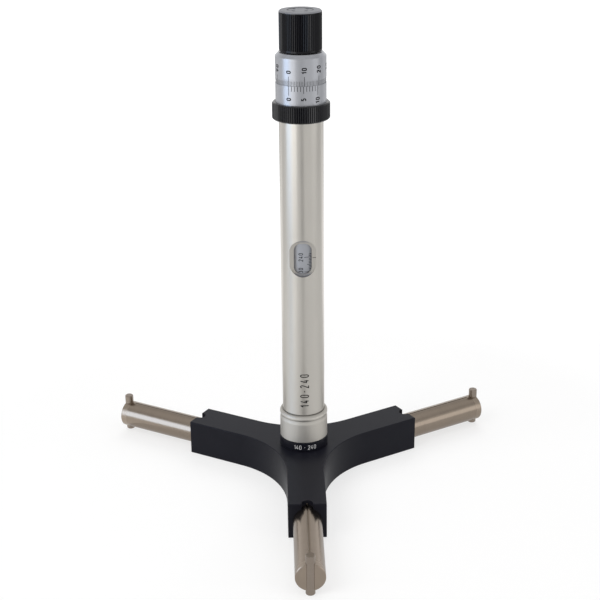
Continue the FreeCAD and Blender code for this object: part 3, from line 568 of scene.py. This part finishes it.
def tube_finish(finish, place, colour, metal, polish, tube):
    """What only the tube has: a duller flat and foot, a painted shade line at the joint, painted
    bluish shade at the ends of the flat.
    """
    _side, across, height = finish.parts(place)
    on_face = across.within(tube.FLAT_FACE, tube.FLAT_TOLERANCE)
    beside = height.within(tube.FLAT_MIDDLE, tube.FLAT_REACH)
    foot = ((tube.FOOT_END - height) / tube.FOOT_END).maximum(0.0)
    polish = polish + on_face * beside * tube.FLAT_DULLNESS + foot * tube.FOOT_DULLNESS
    # Painted shade: a dark line round the tube where it meets the nut, for the shade in the gap.
    painted_joint_shade = height.within(tube.JOINT_MIDDLE, tube.JOINT_HALF)
    metal = finish.blend(painted_joint_shade, metal, shade(colour, tube.JOINT_SHADE))
    # Painted shade: the curved ends of the flat are tinted darker and bluer, for the shade under
    # their edges.
    from_middle = abs(height - tube.FLAT_MIDDLE)
    end = ((from_middle - tube.END_START) * tube.END_SLOPE).clamped()
    end = end * (1.0 - (from_middle > tube.END_STOP)) * (1.0 - (finish.reach(place) > tube.SKIN))
    metal = finish.blend(end, metal, tinted(colour, tube.END_TINT))
    return metal, polish


def ground_finish(name, colour, roughness, direction, band_start):
    """Ground steel: faint rings round an axis and a paler turned band beyond band_start."""
    finish = new_finish(name)
    place = finish.place()
    distance = finish.along(place, direction)
    rings = finish.turning_lines(distance, 0.8 * MM)
    smears = finish.grains(place, 5.0 * MM)
    band = distance > band_start
    tint = (rings * 0.35 + smears * 0.45 + band * 0.5 - 0.1).clamped()
    metal = finish.blend(tint, shade(colour, 0.90), shade(colour, 1.14))
    polish = roughness + smears.swing(0.05) + rings.swing(0.03) + band * 0.10
    return finish.surface(Base_Color=metal, Metallic=1.0, Roughness=polish)


def turned_finish(name, colour, roughness):
    """Machined metal of the hidden parts."""
    finish = new_finish(name)
    place = finish.place()
    grain = finish.grains(place, 0.3 * MM)
    cloud = finish.grains(place, 4.0 * MM)
    metal = finish.blend(cloud * 0.6 + grain * 0.4, shade(colour, 0.8), shade(colour, 1.15))
    polish = roughness + grain.swing(0.2)
    normal = finish.bump(grain, 0.002 * MM, 0.5)
    return finish.surface(Base_Color=metal, Metallic=1.0, Roughness=polish, Normal=normal)


def ink_finish(name, colour):
    """Matt filling of an engraved mark."""
    finish = new_finish(name)
    grain = finish.grains(finish.place(), 0.08 * MM)
    tone = finish.blend(grain, shade(colour, 0.8), shade(colour, 1.2))
    polish = 0.6 + grain.swing(0.2)
    return finish.surface(Base_Color=tone, Roughness=polish, Specular_IOR_Level=0.08)


def dress(material, *names):
    """Gives nodes their finish."""
    for name in names:
        mesh = NODES[name].data
        mesh.materials.clear()
        mesh.materials.append(material)


def around(radius, angle, height):
    """A point at an angle that counts from the first arm, to the right as seen from it."""
    return Vector((radius * math.sin(angle), -radius * math.cos(angle), height))


def bend(centre, radii, start, stop, steps):
    """Points on an ellipse between two angles in degrees."""
    points = []
    for step in range(steps + 1):
        angle = math.radians(start + (stop - start) * step / steps)
        across, up = radii[0] * math.cos(angle), radii[1] * math.sin(angle)
        points.append((centre[0] + across, centre[1] + up))
    return points


ROUND_TOP = bend((0.25, 0.75), (0.25, 0.25), 0, 180, 8)
ROUND_FOOT = bend((0.25, 0.25), (0.25, 0.25), 180, 360, 8)
TWO_HOOK = bend((0.25, 0.76), (0.24, 0.24), 165, -35, 8)
THREE_TOP = bend((0.24, 0.77), (0.22, 0.23), 150, -90, 8)
THREE_FOOT = bend((0.24, 0.27), (0.25, 0.27), 90, -150, 8)
FIVE_BELLY = bend((0.22, 0.31), (0.27, 0.31), 128, -145, 9)
SIX_BOWL = bend((0.25, 0.29), (0.25, 0.29), 0, 360, 14)
EIGHT_TOP = bend((0.25, 0.77), (0.20, 0.23), 0, 360, 12)
EIGHT_FOOT = bend((0.25, 0.27), (0.25, 0.27), 0, 360, 12)
NINE_BOWL = bend((0.25, 0.71), (0.25, 0.29), 0, 360, 14)

# Each figure: its width, and the middle lines of its strokes in a box one unit high.
FIGURES = {
    "0": (0.50, [ROUND_TOP + ROUND_FOOT + ROUND_TOP[:1]]),
    "1": (0.26, [[(0.0, 0.72), (0.26, 1.0), (0.26, 0.0)]]),
    "2": (0.50, [TWO_HOOK + [(0.0, 0.0), (0.5, 0.0)]]),
    "3": (0.50, [THREE_TOP, THREE_FOOT]),
    "4": (0.52, [[(0.30, 1.0), (0.0, 0.26), (0.52, 0.26)], [(0.37, 0.52), (0.37, 0.0)]]),
    "5": (0.50, [[(0.46, 1.0), (0.07, 1.0), (0.05, 0.55)], FIVE_BELLY]),
    "6": (0.50, [[(0.40, 1.0), (0.10, 0.55), (0.01, 0.36)], SIX_BOWL]),
    "7": (0.48, [[(0.0, 1.0), (0.48, 1.0), (0.16, 0.0)]]),
    "8": (0.50, [EIGHT_TOP, EIGHT_FOOT]),
    "9": (0.50, [[(0.10, 0.0), (0.40, 0.45), (0.49, 0.64)], NINE_BOWL]),
    "-": (0.30, [[(0.0, 0.50), (0.30, 0.50)]]),
    " ": (0.10, []),
}


class Lettering:
    """Look of a row of figures. Stroke, spacing and width are shares of the normal figure."""

    def __init__(self, height, stroke=0.20, spacing=0.19, narrow=1.0):
        self.height = height
        self.stroke = height * stroke
        self.gap = height * spacing + self.stroke
        self.narrow = narrow


def text_lines(text, lettering):
    """Middle lines of a row of figures, and the row's length."""
    rise = lettering.height - lettering.stroke
    run = rise * lettering.narrow
    along = 0.0
    lines = []
    for figure in text:
        width, strokes = FIGURES[figure]
        for points in strokes:
            lines.append([(along + x * run, (y - 0.5) * rise) for x, y in points])
        along += width * run + lettering.gap
    return lines, along - lettering.gap


def divided(points, longest):
    """The same line with no step longer than a given length."""
    finer = [Vector(points[0])]
    for point in points[1:]:
        start = finer[-1].copy()
        step = Vector(point) - start
        count = max(1, math.ceil(step.length / longest))
        finer += [start + step * i / count for i in range(1, count + 1)]
    return finer


def edges_of(line, half):
    """Points on both sides of a line, mitred at its bends."""
    closed = (line[0] - line[-1]).length < 1e-7
    ways = [(b - a).normalized() for a, b in zip(line, line[1:])]
    left, right = [], []
    for i, point in enumerate(line):
        before = ways[i - 1] if i > 0 else ways[-1] if closed else ways[0]
        after = ways[i] if i < len(ways) else ways[0] if closed else ways[-1]
        across = Vector((-before.y - after.y, before.x + after.x)).normalized()
        reach = half / max(0.55, across.dot(Vector((-after.y, after.x))))
        left.append(point + across * reach)
        right.append(point - across * reach)
    return left, right, closed


class Engraving:
    """Lines and numbers wrapped on one turned surface, all in one mesh."""

    STEP = 0.4 * MM

    def __init__(self, radius_at, marks):
        self.bm = bmesh.new()
        self.radius_at = radius_at
        self.inside = marks.sunk
        self.outside = marks.proud

    def ribbon(self, sections, closed=False):
        """Joins four-cornered sections into a closed bar or ring."""
        rings = [[self.bm.verts.new(corner) for corner in section] for section in sections]
        if closed:
            rings.append(rings[0])
        for before, after in zip(rings, rings[1:]):
            for i in range(4):
                j = (i + 1) % 4
                self.bm.faces.new((before[i], before[j], after[j], after[i]))
        if not closed:
            self.bm.faces.new(rings[0][::-1])
            self.bm.faces.new(rings[-1])

    def line(self, angle, low, high, width, steps=1):
        """An upright bar, in steps so that it can follow a taper."""
        sections = []
        for step in range(steps + 1):
            height = low + (high - low) * step / steps
            radius = self.radius_at(height)
            spread = width / 2 / radius
            inner, outer = radius - self.inside, radius + self.outside
            sections.append(
                (
                    around(inner, angle - spread, height),
                    around(inner, angle + spread, height),
                    around(outer, angle + spread, height),
                    around(outer, angle - spread, height),
                )
            )
        self.ribbon(sections)

    def level_line(self, angle_from, angle_to, height, width):
        """A bar that runs round the surface."""
        radius = self.radius_at(height)
        steps = max(1, math.ceil(abs(angle_to - angle_from) * radius / self.STEP))
        inner, outer = radius - self.inside, radius + self.outside
        sections = []
        for step in range(steps + 1):
            angle = angle_from + (angle_to - angle_from) * step / steps
            sections.append(
                (
                    around(inner, angle, height - width / 2),
                    around(outer, angle, height - width / 2),
                    around(outer, angle, height + width / 2),
                    around(inner, angle, height + width / 2),
                )
            )
        self.ribbon(sections)

    def words(self, text, angle, height, lettering, upward, start="CENTER"):
        """Figures that read round the surface, or up it when upward is true."""
        lines, length = text_lines(text, lettering)
        shift = {"CENTER": -length / 2, "LEFT": 0.0, "RIGHT": -length}[start]
        for points in lines:
            middle = divided([(x + shift, y) for x, y in points], self.STEP)
            left, right, closed = edges_of(middle, lettering.stroke / 2)
            if closed:
                left.pop()
                right.pop()
            sections = []
            for one, other in zip(left, right):
                sections.append(
                    (
                        self.wrapped(one, angle, height, upward, -self.inside),
                        self.wrapped(one, angle, height, upward, self.outside),
                        self.wrapped(other, angle, height, upward, self.outside),
                        self.wrapped(other, angle, height, upward, -self.inside),
                    )
                )
            self.ribbon(sections, closed)

    def wrapped(self, point, angle, height, upward, lift):
        """A flat point of a row of figures, bent round the surface."""
        arc, rise = (-point.y, point.x) if upward else (point.x, point.y)
        radius = self.radius_at(height + rise)
        return around(radius + lift, angle + arc / radius, height + rise)

    def finish(self, name, body, ink):
        """Closes the mesh and lets it ride on its body."""
        bmesh.ops.recalc_face_normals(self.bm, faces=self.bm.faces)
        mesh = bpy.data.meshes.new(name)
        self.bm.to_mesh(mesh)
        self.bm.free()
        mesh.materials.append(ink)
        piece = bpy.data.objects.new(name, mesh)
        bpy.context.scene.collection.objects.link(piece)
        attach(piece, body)


def settings():
    scene = bpy.context.scene
    return scene.micrometer_finish, scene.micrometer_marks, scene.micrometer_studio


def ink(name):
    """The black or white filling, made once."""
    if name not in bpy.data.materials:
        colours = {"black_filling": (0.005, 0.005, 0.006), "white_filling": (0.80, 0.80, 0.80)}
        ink_finish(name, colours[name])
    return bpy.data.materials[name]


class MICROMETER_OT_black_parts(bpy.types.Operator):
    """Anodise the head, the hub ring, the lock ring and the knob"""

    bl_idname = "micrometer.black_parts"
    bl_label = "Black parts"

    # Depth of the bare top below the knob's upper end.
    CROWN = 0.65 * MM

    def execute(self, context):
        finish, _marks, _studio = settings()
        roughness = finish.anodised_roughness
        skin = anodised_finish("black_anodised", finish, roughness, 0.14)
        ring = anodised_finish("ring_anodised", finish, roughness * 0.38, 0.44, 0.35)
        crown = high_end("ratchet_knob") - self.CROWN
        knob = anodised_finish("knob_anodised", finish, roughness * 0.34, 0.24, 0.4, crown)
        dress(skin, "head_body", "hub_ring")
        dress(ring, "lock_ring")
        dress(knob, "ratchet_knob", "knob_cap")
        return {"FINISHED"}


class MICROMETER_OT_handle(bpy.types.Operator):
    """Give the handle tube and the union nut their satin chrome"""

    bl_idname = "micrometer.handle"
    bl_label = "Handle"

    # The flat beside the window, and the foot that gets duller towards the nut.
    FLAT_FACE = -8.95 * MM
    FLAT_TOLERANCE = 0.1 * MM
    FLAT_MIDDLE = 129.3 * MM
    FLAT_REACH = 10.0 * MM
    FLAT_DULLNESS = 0.30
    FOOT_END = 110.0 * MM
    FOOT_DULLNESS = 0.22

    # The flat's ends with painted bluish shade, counted from its middle, as far out as the tube's
    # skin.
    END_START = 7.8 * MM
    END_STOP = 12.5 * MM
    END_SLOPE = 900.0
    END_TINT = (0.72, 0.75, 0.84)
    SKIN = 11.17 * MM

    # Joint of tube and nut with its painted shade line, and bands of painted shade, painted
    # highlight and, at the bead, a painted dark reflection, that soften the nut's waist.
    JOINT_MIDDLE = 40.4 * MM
    JOINT_HALF = 0.25 * MM
    JOINT_SHADE = 0.35
    NUT_BANDS = ((36.2, 37.9, 0.93), (37.9, 39.1, 1.16), (39.1, 40.4, 0.88))
    NUT_DULLNESS = 0.26

    def execute(self, context):
        finish, _marks, _studio = settings()
        roughness = finish.chrome_roughness
        chrome = finish.chrome
        dress(chrome_finish("satin_chrome", chrome, roughness, tube=self), "handle_tube")
        roughness += self.NUT_DULLNESS
        nut = chrome_finish("nut_chrome", chrome, roughness, 0.0, bands=self.NUT_BANDS)
        dress(nut, "union_nut")
        return {"FINISHED"}


class MICROMETER_OT_barrels(bpy.types.Operator):
    """Give the thimble, the vernier sleeve and the scale sleeve their satin chrome"""

    bl_idname = "micrometer.barrels"
    bl_label = "Thimble and sleeves"

    def execute(self, context):
        finish, _marks, _studio = settings()
        roughness = finish.chrome_roughness + 0.06
        chrome = chrome_finish("barrel_chrome", finish.barrel_chrome, roughness)
        dress(chrome, "thimble", "vernier_sleeve")
        sleeve = chrome_finish("sleeve_satin", finish.barrel_chrome, roughness + 0.25, 0.0)
        dress(sleeve, "scale_sleeve")
        return {"FINISHED"}


class MICROMETER_OT_spindles(bpy.types.Operator):
    """Grind the measuring spindles and their contact pins"""

    bl_idname = "micrometer.spindles"
    bl_label = "Measuring spindles"

    BAND_START = 115.4 * MM

    def execute(self, context):
        finish, _marks, _studio = settings()
        roughness = finish.steel_roughness
        upright = (0.0, 0.0, 1.0)
        pins = ground_finish("hard_metal", finish.carbide, roughness, upright, 1.0)
        for number, arm in ARMS.items():
            name = "ground_steel_%d" % number
            steel = ground_finish(name, finish.steel, roughness, arm, self.BAND_START)
            dress(steel, "measuring_spindle_%d" % number)
            dress(pins, "contact_pin_%d" % number)
        return {"FINISHED"}


class MICROMETER_OT_works(bpy.types.Operator):
    """Finish the screws, gears, bushes and ratchet inside"""

    bl_idname = "micrometer.works"
    bl_label = "Inner works"

    STEEL = (0.46, 0.45, 0.45)
    BRONZE = (0.58, 0.40, 0.19)
    WIRE = (0.30, 0.30, 0.32)

    def execute(self, context):
        steel = turned_finish("machined_steel", self.STEEL, 0.32)
        bronze = turned_finish("bearing_bronze", self.BRONZE, 0.34)
        wire = turned_finish("spring_wire", self.WIRE, 0.36)
        dress(steel, "drive_shaft", "drive_bevel_gear", "ratchet_wheel", "ratchet_ring")
        dress(steel, "stop_nut", "scale_key")
        dress(bronze, "foot_bush", "shaft_bush", "bearing_cap", "scale_nut")
        dress(wire, "ratchet_spring")
        for number in ARMS:
            dress(steel, "lead_screw_%d" % number, "bevel_pinion_%d" % number)
            dress(steel, "guide_key_%d" % number)
            dress(bronze, "screw_bush_%d" % number)
        return {"FINISHED"}


def mark_length(division, lengths):
    """The first, second or third length, for a tenth, a fifth or any other division."""
    tenth, fifth, other = lengths
    return tenth if division % 10 == 0 else fifth if division % 5 == 0 else other


class MICROMETER_OT_main_scale(bpy.types.Operator):
    """Engrave the millimetre scale on the sleeve behind the window"""

    bl_idname = "micrometer.main_scale"
    bl_label = "Main scale"

    RISE_PER_MILLIMETRE = 0.8 * MM
    RIGHT_END = 5.4 * MM
    STARTS = (0.8 * MM, 2.3 * MM, 3.1 * MM)
    BEYOND = 2
    NUMBER_PLACE = -1.0 * MM

    def execute(self, context):
        _finish, marks, _studio = settings()
        radius = half_width("scale_sleeve")
        engraving = Engraving(lambda height: radius, marks)
        right = math.asin(self.RIGHT_END / radius)
        figures = Lettering(marks.scale_digit, stroke=0.13, spacing=0.20, narrow=0.80)
        for bore in range(marks.smallest, marks.largest + self.BEYOND + 1):
            height = READING_HEIGHT + (bore - marks.largest) * self.RISE_PER_MILLIMETRE
            left = math.asin(mark_length(bore, self.STARTS) / radius)
            engraving.level_line(left, right, height, marks.line_width)
            if bore % 10 == 0:
                angle = math.asin(self.NUMBER_PLACE / radius)
                engraving.words(str(bore), angle, height, figures, True)
        engraving.finish("main_scale_marks", "scale", ink("black_filling"))
        return {"FINISHED"}


class MICROMETER_OT_index_line(bpy.types.Operator):
    """Engrave the reading line on the flat beside the window"""

    bl_idname = "micrometer.index_line"
    bl_label = "Reading line"

    FLAT_DEPTH = 2.3 * MM
    START = 5.0 * MM
    END = 6.8 * MM

    def execute(self, context):
        _finish, marks, _studio = settings()
        face = -(half_width("handle_tube") - self.FLAT_DEPTH)
        bm = bmesh.new()
        size = (self.END - self.START, marks.sunk + marks.proud, marks.line_width)
        depth = face + (marks.sunk - marks.proud) / 2
        middle = Vector(((self.START + self.END) / 2, depth, READING_HEIGHT))
        bmesh.ops.create_cube(bm, size=1.0, matrix=Matrix.LocRotScale(middle, None, size))
        mesh = bpy.data.meshes.new("reading_line")
        bm.to_mesh(mesh)
        bm.free()
        mesh.materials.append(ink("black_filling"))
        piece = bpy.data.objects.new("reading_line", mesh)
        context.scene.collection.objects.link(piece)
        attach(piece, "frame")
        return {"FINISHED"}


class MICROMETER_OT_thimble_marks(bpy.types.Operator):
    """Engrave the hundred divisions and the numbers of the thimble"""

    bl_idname = "micrometer.thimble_marks"
    bl_label = "Thimble marks"

    DIVISIONS = 100
    LENGTHS = (4.7 * MM, 2.6 * MM, 2.4 * MM)
    NUMBER_START = 6.3 * MM

    # Width of the lines without a number, as a share of the others.
    FINE = 0.62

    # How much narrower the thimble is at its lower edge, and how high that taper goes.
    TAPER = 0.25 * MM
    TAPER_HEIGHT = 3.2 * MM

    def execute(self, context):
        _finish, marks, _studio = settings()
        low = low_end("thimble")
        radius = half_width("thimble")

        def radius_at(height):
            up = min(1.0, (height - low) / self.TAPER_HEIGHT)
            return radius - self.TAPER * (1.0 - up)

        engraving = Engraving(radius_at, marks)
        figures = Lettering(marks.barrel_digit)
        for division in range(self.DIVISIONS):
            angle = READING_ANGLE + division * 2 * math.pi / self.DIVISIONS
            length = mark_length(division, self.LENGTHS)
            width = marks.line_width if division % 10 == 0 else marks.line_width * self.FINE
            engraving.line(angle, low + EDGE_GAP, low + length, width, steps=3)
            if division % 10 == 0:
                start = low + self.NUMBER_START
                engraving.words(str(division), angle, start, figures, True, "LEFT")
        engraving.finish("thimble_marks", "drive", ink("black_filling"))
        return {"FINISHED"}


class MICROMETER_OT_vernier_marks(bpy.types.Operator):
    """Engrave the ten divisions and the numbers of the vernier"""

    bl_idname = "micrometer.vernier_marks"
    bl_label = "Vernier marks"

    DIVISIONS = 10
    STEP = math.radians(6.84)
    LENGTHS = (4.6 * MM, 3.4 * MM, 2.5 * MM)
    NUMBER_TOP = 5.9 * MM

    def execute(self, context):
        _finish, marks, _studio = settings()
        radius = half_width("vernier_sleeve")
        top = high_end("vernier_sleeve")
        figures = Lettering(marks.barrel_digit)
        engraving = Engraving(lambda height: radius, marks)
        for division in range(self.DIVISIONS + 1):
            angle = READING_ANGLE + division * self.STEP
            length = mark_length(division, self.LENGTHS)
            engraving.line(angle, top - length, top - EDGE_GAP, marks.line_width)
            if division % 5 == 0:
                number_top = top - self.NUMBER_TOP
                engraving.words(str(division), angle, number_top, figures, True, "RIGHT")
        engraving.finish("vernier_marks", "frame", ink("black_filling"))
        return {"FINISHED"}


class MICROMETER_OT_range_numbers(bpy.types.Operator):
    """Put the measuring range on the handle tube and on the hub ring"""

    bl_idname = "micrometer.range_numbers"
    bl_label = "Range numbers"

    TUBE_HEIGHT = 54.9 * MM
    TUBE_ANGLE = math.radians(1.8)
    HUB_ANGLE = math.radians(1.6)

    def execute(self, context):
        _finish, marks, _studio = settings()
        ends = (marks.smallest, marks.largest)
        tall = Lettering(marks.tube_digit, stroke=0.105, spacing=0.262, narrow=0.62)
        small = Lettering(marks.hub_digit, stroke=0.11, spacing=0.155, narrow=0.85)
        tube_radius = half_width("handle_tube")
        tube = Engraving(lambda height: tube_radius, marks)
        tube.words("%d-%d" % ends, self.TUBE_ANGLE, self.TUBE_HEIGHT, tall, True)
        tube.finish("tube_range_numbers", "frame", ink("black_filling"))
        hub_radius = half_width("hub_ring")
        hub_low = high_end("head_body")
        hub_middle = (hub_low + low_end("union_nut")) / 2
        hub = Engraving(lambda height: hub_radius, marks)
        hub.words("%d - %d" % ends, self.HUB_ANGLE, hub_middle, small, False)
        hub.finish("hub_range_numbers", "frame", ink("white_filling"))
        return {"FINISHED"}


class MICROMETER_OT_studio(bpy.types.Operator):
    """Set the floor, the cards, the lamps, the world and the camera"""

    bl_idname = "micrometer.studio"
    bl_label = "Studio"

    FLOOR_SIZE = 6.0

    # Cards on the floor: azimuth and half the spread in degrees, near and far edge in
    # metres from the axis, strength.
    CARDS = {
        "near_dark_card": (1.0, 9.0, 0.24, 0.36, 0.68),
        "dark_card": (1.0, 9.0, 0.36, 0.9, 0.25),
        "near_bright_card": (-46.0, 12.0, 0.15, 0.32, 1.06),
        "bright_card": (-45.0, 13.0, 0.32, 0.68, 0.72),
        "far_bright_card": (-41.0, 17.0, 0.68, 1.28, 1.85),
        "knob_card": (-43.0, 16.0, 1.28, 2.6, 3.1),
        "side_card": (84.0, 32.0, 0.80, 2.6, 0.42),
        "low_side_card": (-100.0, 20.0, 0.12, 0.34, 0.92),
        "back_card": (180.0, 55.0, 0.30, 0.9, 1.10),
    }

    # Upright cards: azimuth and half the spread in degrees, height in metres, strength, colour.
    SCREENS = {
        "left_screen": (-68.0, 15.0, 0.72, 3.3, (0.68, 0.81, 1.0)),
        "right_screen": (68.0, 15.0, 0.60, 1.35, (1.0, 1.0, 1.0)),
    }

    # Lamps: place and width in metres.
    KEY = ((-0.75, -0.55, 0.85), 0.7)
    FILL = ((0.85, -0.45, 0.60), 0.6)
    BACK = ((0.10, 0.80, 0.90), 0.7)

    def execute(self, context):
        _finish, _marks, studio = settings()
        make_floor(self.FLOOR_SIZE)
        make_world(studio.ambient)
        for name, card in self.CARDS.items():
            make_card(name, *card)
        for name, screen in self.SCREENS.items():
            make_screen(name, *screen)
        make_lamp("key_lamp", *self.KEY, studio.key_power)
        make_lamp("fill_lamp", *self.FILL, studio.fill_power)
        make_lamp("back_lamp", *self.BACK, studio.back_power)
        make_camera(studio)
        context.scene.view_settings.view_transform = "Standard"
        return {"FINISHED"}


# The floor: its colour, its light to the camera and in the metal, how far it lies below the
# object, and how its share of light grows from the object outwards.
FLOOR_COLOUR = (0.80, 0.80, 0.80)
FLOOR_SEEN = 1.20
FLOOR_MIRRORED = 0.72
FLOOR_MIRRORED_SHARE = 0.75
FLOOR_DROP = 0.2 * MM
SHADOW_REACH = 0.20
SHADOW_SHARE = 0.55
SHADOW_SLOPE = 1.2

WHITE = (1.0, 1.0, 1.0)
CARD_DROP = 0.1 * MM
SCREEN_DISTANCE = 1.2
LAMP_AIM = Vector((0.0, 0.0, 0.1))


def make_floor(size):
    """A pale floor, white to the camera apart from the object's shadow."""
    half = size / 2
    signs = ((-1, -1), (1, -1), (1, 1), (-1, 1))
    floor = flat_piece("floor", [(x * half, y * half, -FLOOR_DROP) for x, y in signs])
    finish = new_finish("floor_paper")
    matt = finish.node("ShaderNodeBsdfDiffuse", {}, {"Color": FLOOR_COLOUR})
    white = finish.node("ShaderNodeEmission", {}, {"Color": WHITE, "Strength": FLOOR_SEEN})
    soft = finish.node("ShaderNodeEmission", {}, {"Color": WHITE, "Strength": FLOOR_MIRRORED})
    beyond = (finish.length(finish.place()) - SHADOW_REACH).maximum(0.0)
    share = (SHADOW_SHARE + beyond * SHADOW_SLOPE).minimum(1.0)
    seen = finish.node("ShaderNodeMixShader", {}, {0: share, 1: matt, 2: white})
    mirrored = finish.node("ShaderNodeMixShader", {}, {0: FLOOR_MIRRORED_SHARE, 1: matt, 2: soft})
    camera_ray = finish.node("ShaderNodeLightPath", output="Is Camera Ray")
    glossy_ray = finish.node("ShaderNodeLightPath", output="Is Glossy Ray")
    plain = finish.node("ShaderNodeMixShader", {}, {0: camera_ray, 1: matt, 2: seen})
    shown = finish.node("ShaderNodeMixShader", {}, {0: glossy_ray, 1: plain, 2: mirrored})
    finish.node("ShaderNodeOutputMaterial", {}, {"Surface": shown})
    floor.data.materials.append(finish.owner)


def flat_piece(name, corners):
    """A flat stage piece between its corners."""
    mesh = bpy.data.meshes.new(name)
    mesh.from_pydata(corners, [], [range(len(corners))])
    piece = bpy.data.objects.new(name, mesh)
    bpy.context.scene.collection.objects.link(piece)
    return piece


def make_card(name, azimuth, spread, near, far, strength):
    """A card on the floor that only the metal shows, as a light or dark band."""
    corners = []
    for reach, side in ((near, -1), (near, 1), (far, 1), (far, -1)):
        corners.append(around(reach, math.radians(azimuth + side * spread), -CARD_DROP))
    make_mirrored(name, corners, strength, WHITE)


def make_screen(name, azimuth, spread, height, strength, colour):
    """An upright card that the spindles show as a streak."""
    left = around(SCREEN_DISTANCE, math.radians(azimuth - spread), 0.0)
    right = around(SCREEN_DISTANCE, math.radians(azimuth + spread), 0.0)
    up = Vector((0.0, 0.0, height))
    make_mirrored(name, [left, right, right + up, left + up], strength, colour)


def make_mirrored(name, corners, strength, colour):
    """A stage piece of plain light that is seen in the metal and nowhere else."""
    card = flat_piece(name, corners)
    card.visible_camera = False
    card.visible_diffuse = False
    card.visible_shadow = False
    card.visible_transmission = False
    finish = new_finish(name)
    paper = finish.node("ShaderNodeEmission", {}, {"Color": colour, "Strength": strength})
    finish.node("ShaderNodeOutputMaterial", {}, {"Surface": paper})
    card.data.materials.append(finish.owner)


def make_world(ambient):
    """White behind the object, an even level on matt surfaces, a graded room in the metal."""
    world = bpy.data.worlds.new("studio")
    bpy.context.scene.world = world
    finish = Finish(world)
    camera_ray = finish.node("ShaderNodeLightPath", output="Is Camera Ray")
    glossy_ray = finish.node("ShaderNodeLightPath", output="Is Glossy Ray")
    height = finish.parts(finish.node("ShaderNodeTexCoord", output="Generated"))[2]
    level = finish.node("ShaderNodeValToRGB", {"stops": SKY_BANDS}, {0: height * 0.5 + 0.5})
    soft = finish.node("ShaderNodeBackground", {}, {"Color": WHITE, "Strength": ambient})
    bands = finish.node("ShaderNodeBackground", {}, {"Color": level, "Strength": 1.0})
    white = finish.node("ShaderNodeBackground", {}, {"Color": WHITE, "Strength": 1.0})
    shaded = finish.node("ShaderNodeMixShader", {}, {0: glossy_ray, 1: soft, 2: bands})
    shown = finish.node("ShaderNodeMixShader", {}, {0: camera_ray, 1: shaded, 2: white})
    finish.node("ShaderNodeOutputWorld", {}, {"Surface": shown})


def make_lamp(name, place, size, power):
    """A square soft lamp that points at the handle. The metal shows the cards instead of it."""
    data = bpy.data.lights.new(name, "AREA")
    data.energy = power
    data.size = size
    lamp = bpy.data.objects.new(name, data)
    lamp.visible_glossy = False
    bpy.context.scene.collection.objects.link(lamp)
    lamp.location = place
    aim = LAMP_AIM - lamp.location
    lamp.rotation_euler = aim.to_track_quat("-Z", "Y").to_euler()


def make_camera(studio):
    """The camera at the place from which the object is seen."""
    data = bpy.data.cameras.new("camera")
    data.lens = studio.camera_lens
    camera = bpy.data.objects.new("camera", data)
    bpy.context.scene.collection.objects.link(camera)
    around_z = Matrix.Rotation(-studio.camera_azimuth, 4, "Z")
    place = around_z @ Vector((0.0, -studio.camera_distance, studio.camera_height))
    heading = Matrix.Rotation(-studio.camera_azimuth - studio.camera_yaw, 4, "Z")
    tilt = Matrix.Rotation(math.pi / 2 - studio.camera_pitch, 4, "X")
    roll = Matrix.Rotation(studio.camera_roll, 4, "Z")
    camera.matrix_world = Matrix.Translation(place) @ heading @ tilt @ roll
    bpy.context.scene.camera = camera


OPERATORS = (
    MICROMETER_OT_black_parts,
    MICROMETER_OT_handle,
    MICROMETER_OT_barrels,
    MICROMETER_OT_spindles,
    MICROMETER_OT_works,
    MICROMETER_OT_main_scale,
    MICROMETER_OT_index_line,
    MICROMETER_OT_thimble_marks,
    MICROMETER_OT_vernier_marks,
    MICROMETER_OT_range_numbers,
    MICROMETER_OT_studio,
)


class MICROMETER_PT_finish(bpy.types.Panel):
    """Lists the steps that finish the micrometer"""

    bl_idname = "MICROMETER_PT_finish"
    bl_label = "Inside micrometer"
    bl_space_type = "VIEW_3D"
    bl_region_type = "UI"
    bl_category = "Micrometer"

    def draw(self, context):
        for operator in OPERATORS:
            self.layout.operator(operator.bl_idname)


GROUPS = {
    "micrometer_finish": FinishSettings,
    "micrometer_marks": MarkSettings,
    "micrometer_studio": StudioSettings,
}


def register():
    for group in GROUPS.values():
        bpy.utils.register_class(group)
    for operator in OPERATORS:
        bpy.utils.register_class(operator)
    bpy.utils.register_class(MICROMETER_PT_finish)
    for name, group in GROUPS.items():
        setattr(bpy.types.Scene, name, bpy.props.PointerProperty(type=group))


def unregister():
    for name in GROUPS:
        delattr(bpy.types.Scene, name)
    bpy.utils.unregister_class(MICROMETER_PT_finish)
    for operator in reversed(OPERATORS):
        bpy.utils.unregister_class(operator)
    for group in GROUPS.values():
        bpy.utils.unregister_class(group)


def main():
    register()
    for operator in OPERATORS:
        group, name = operator.bl_idname.split(".")
        getattr(getattr(bpy.ops, group), name)()


if __name__ == "__main__":
    main()
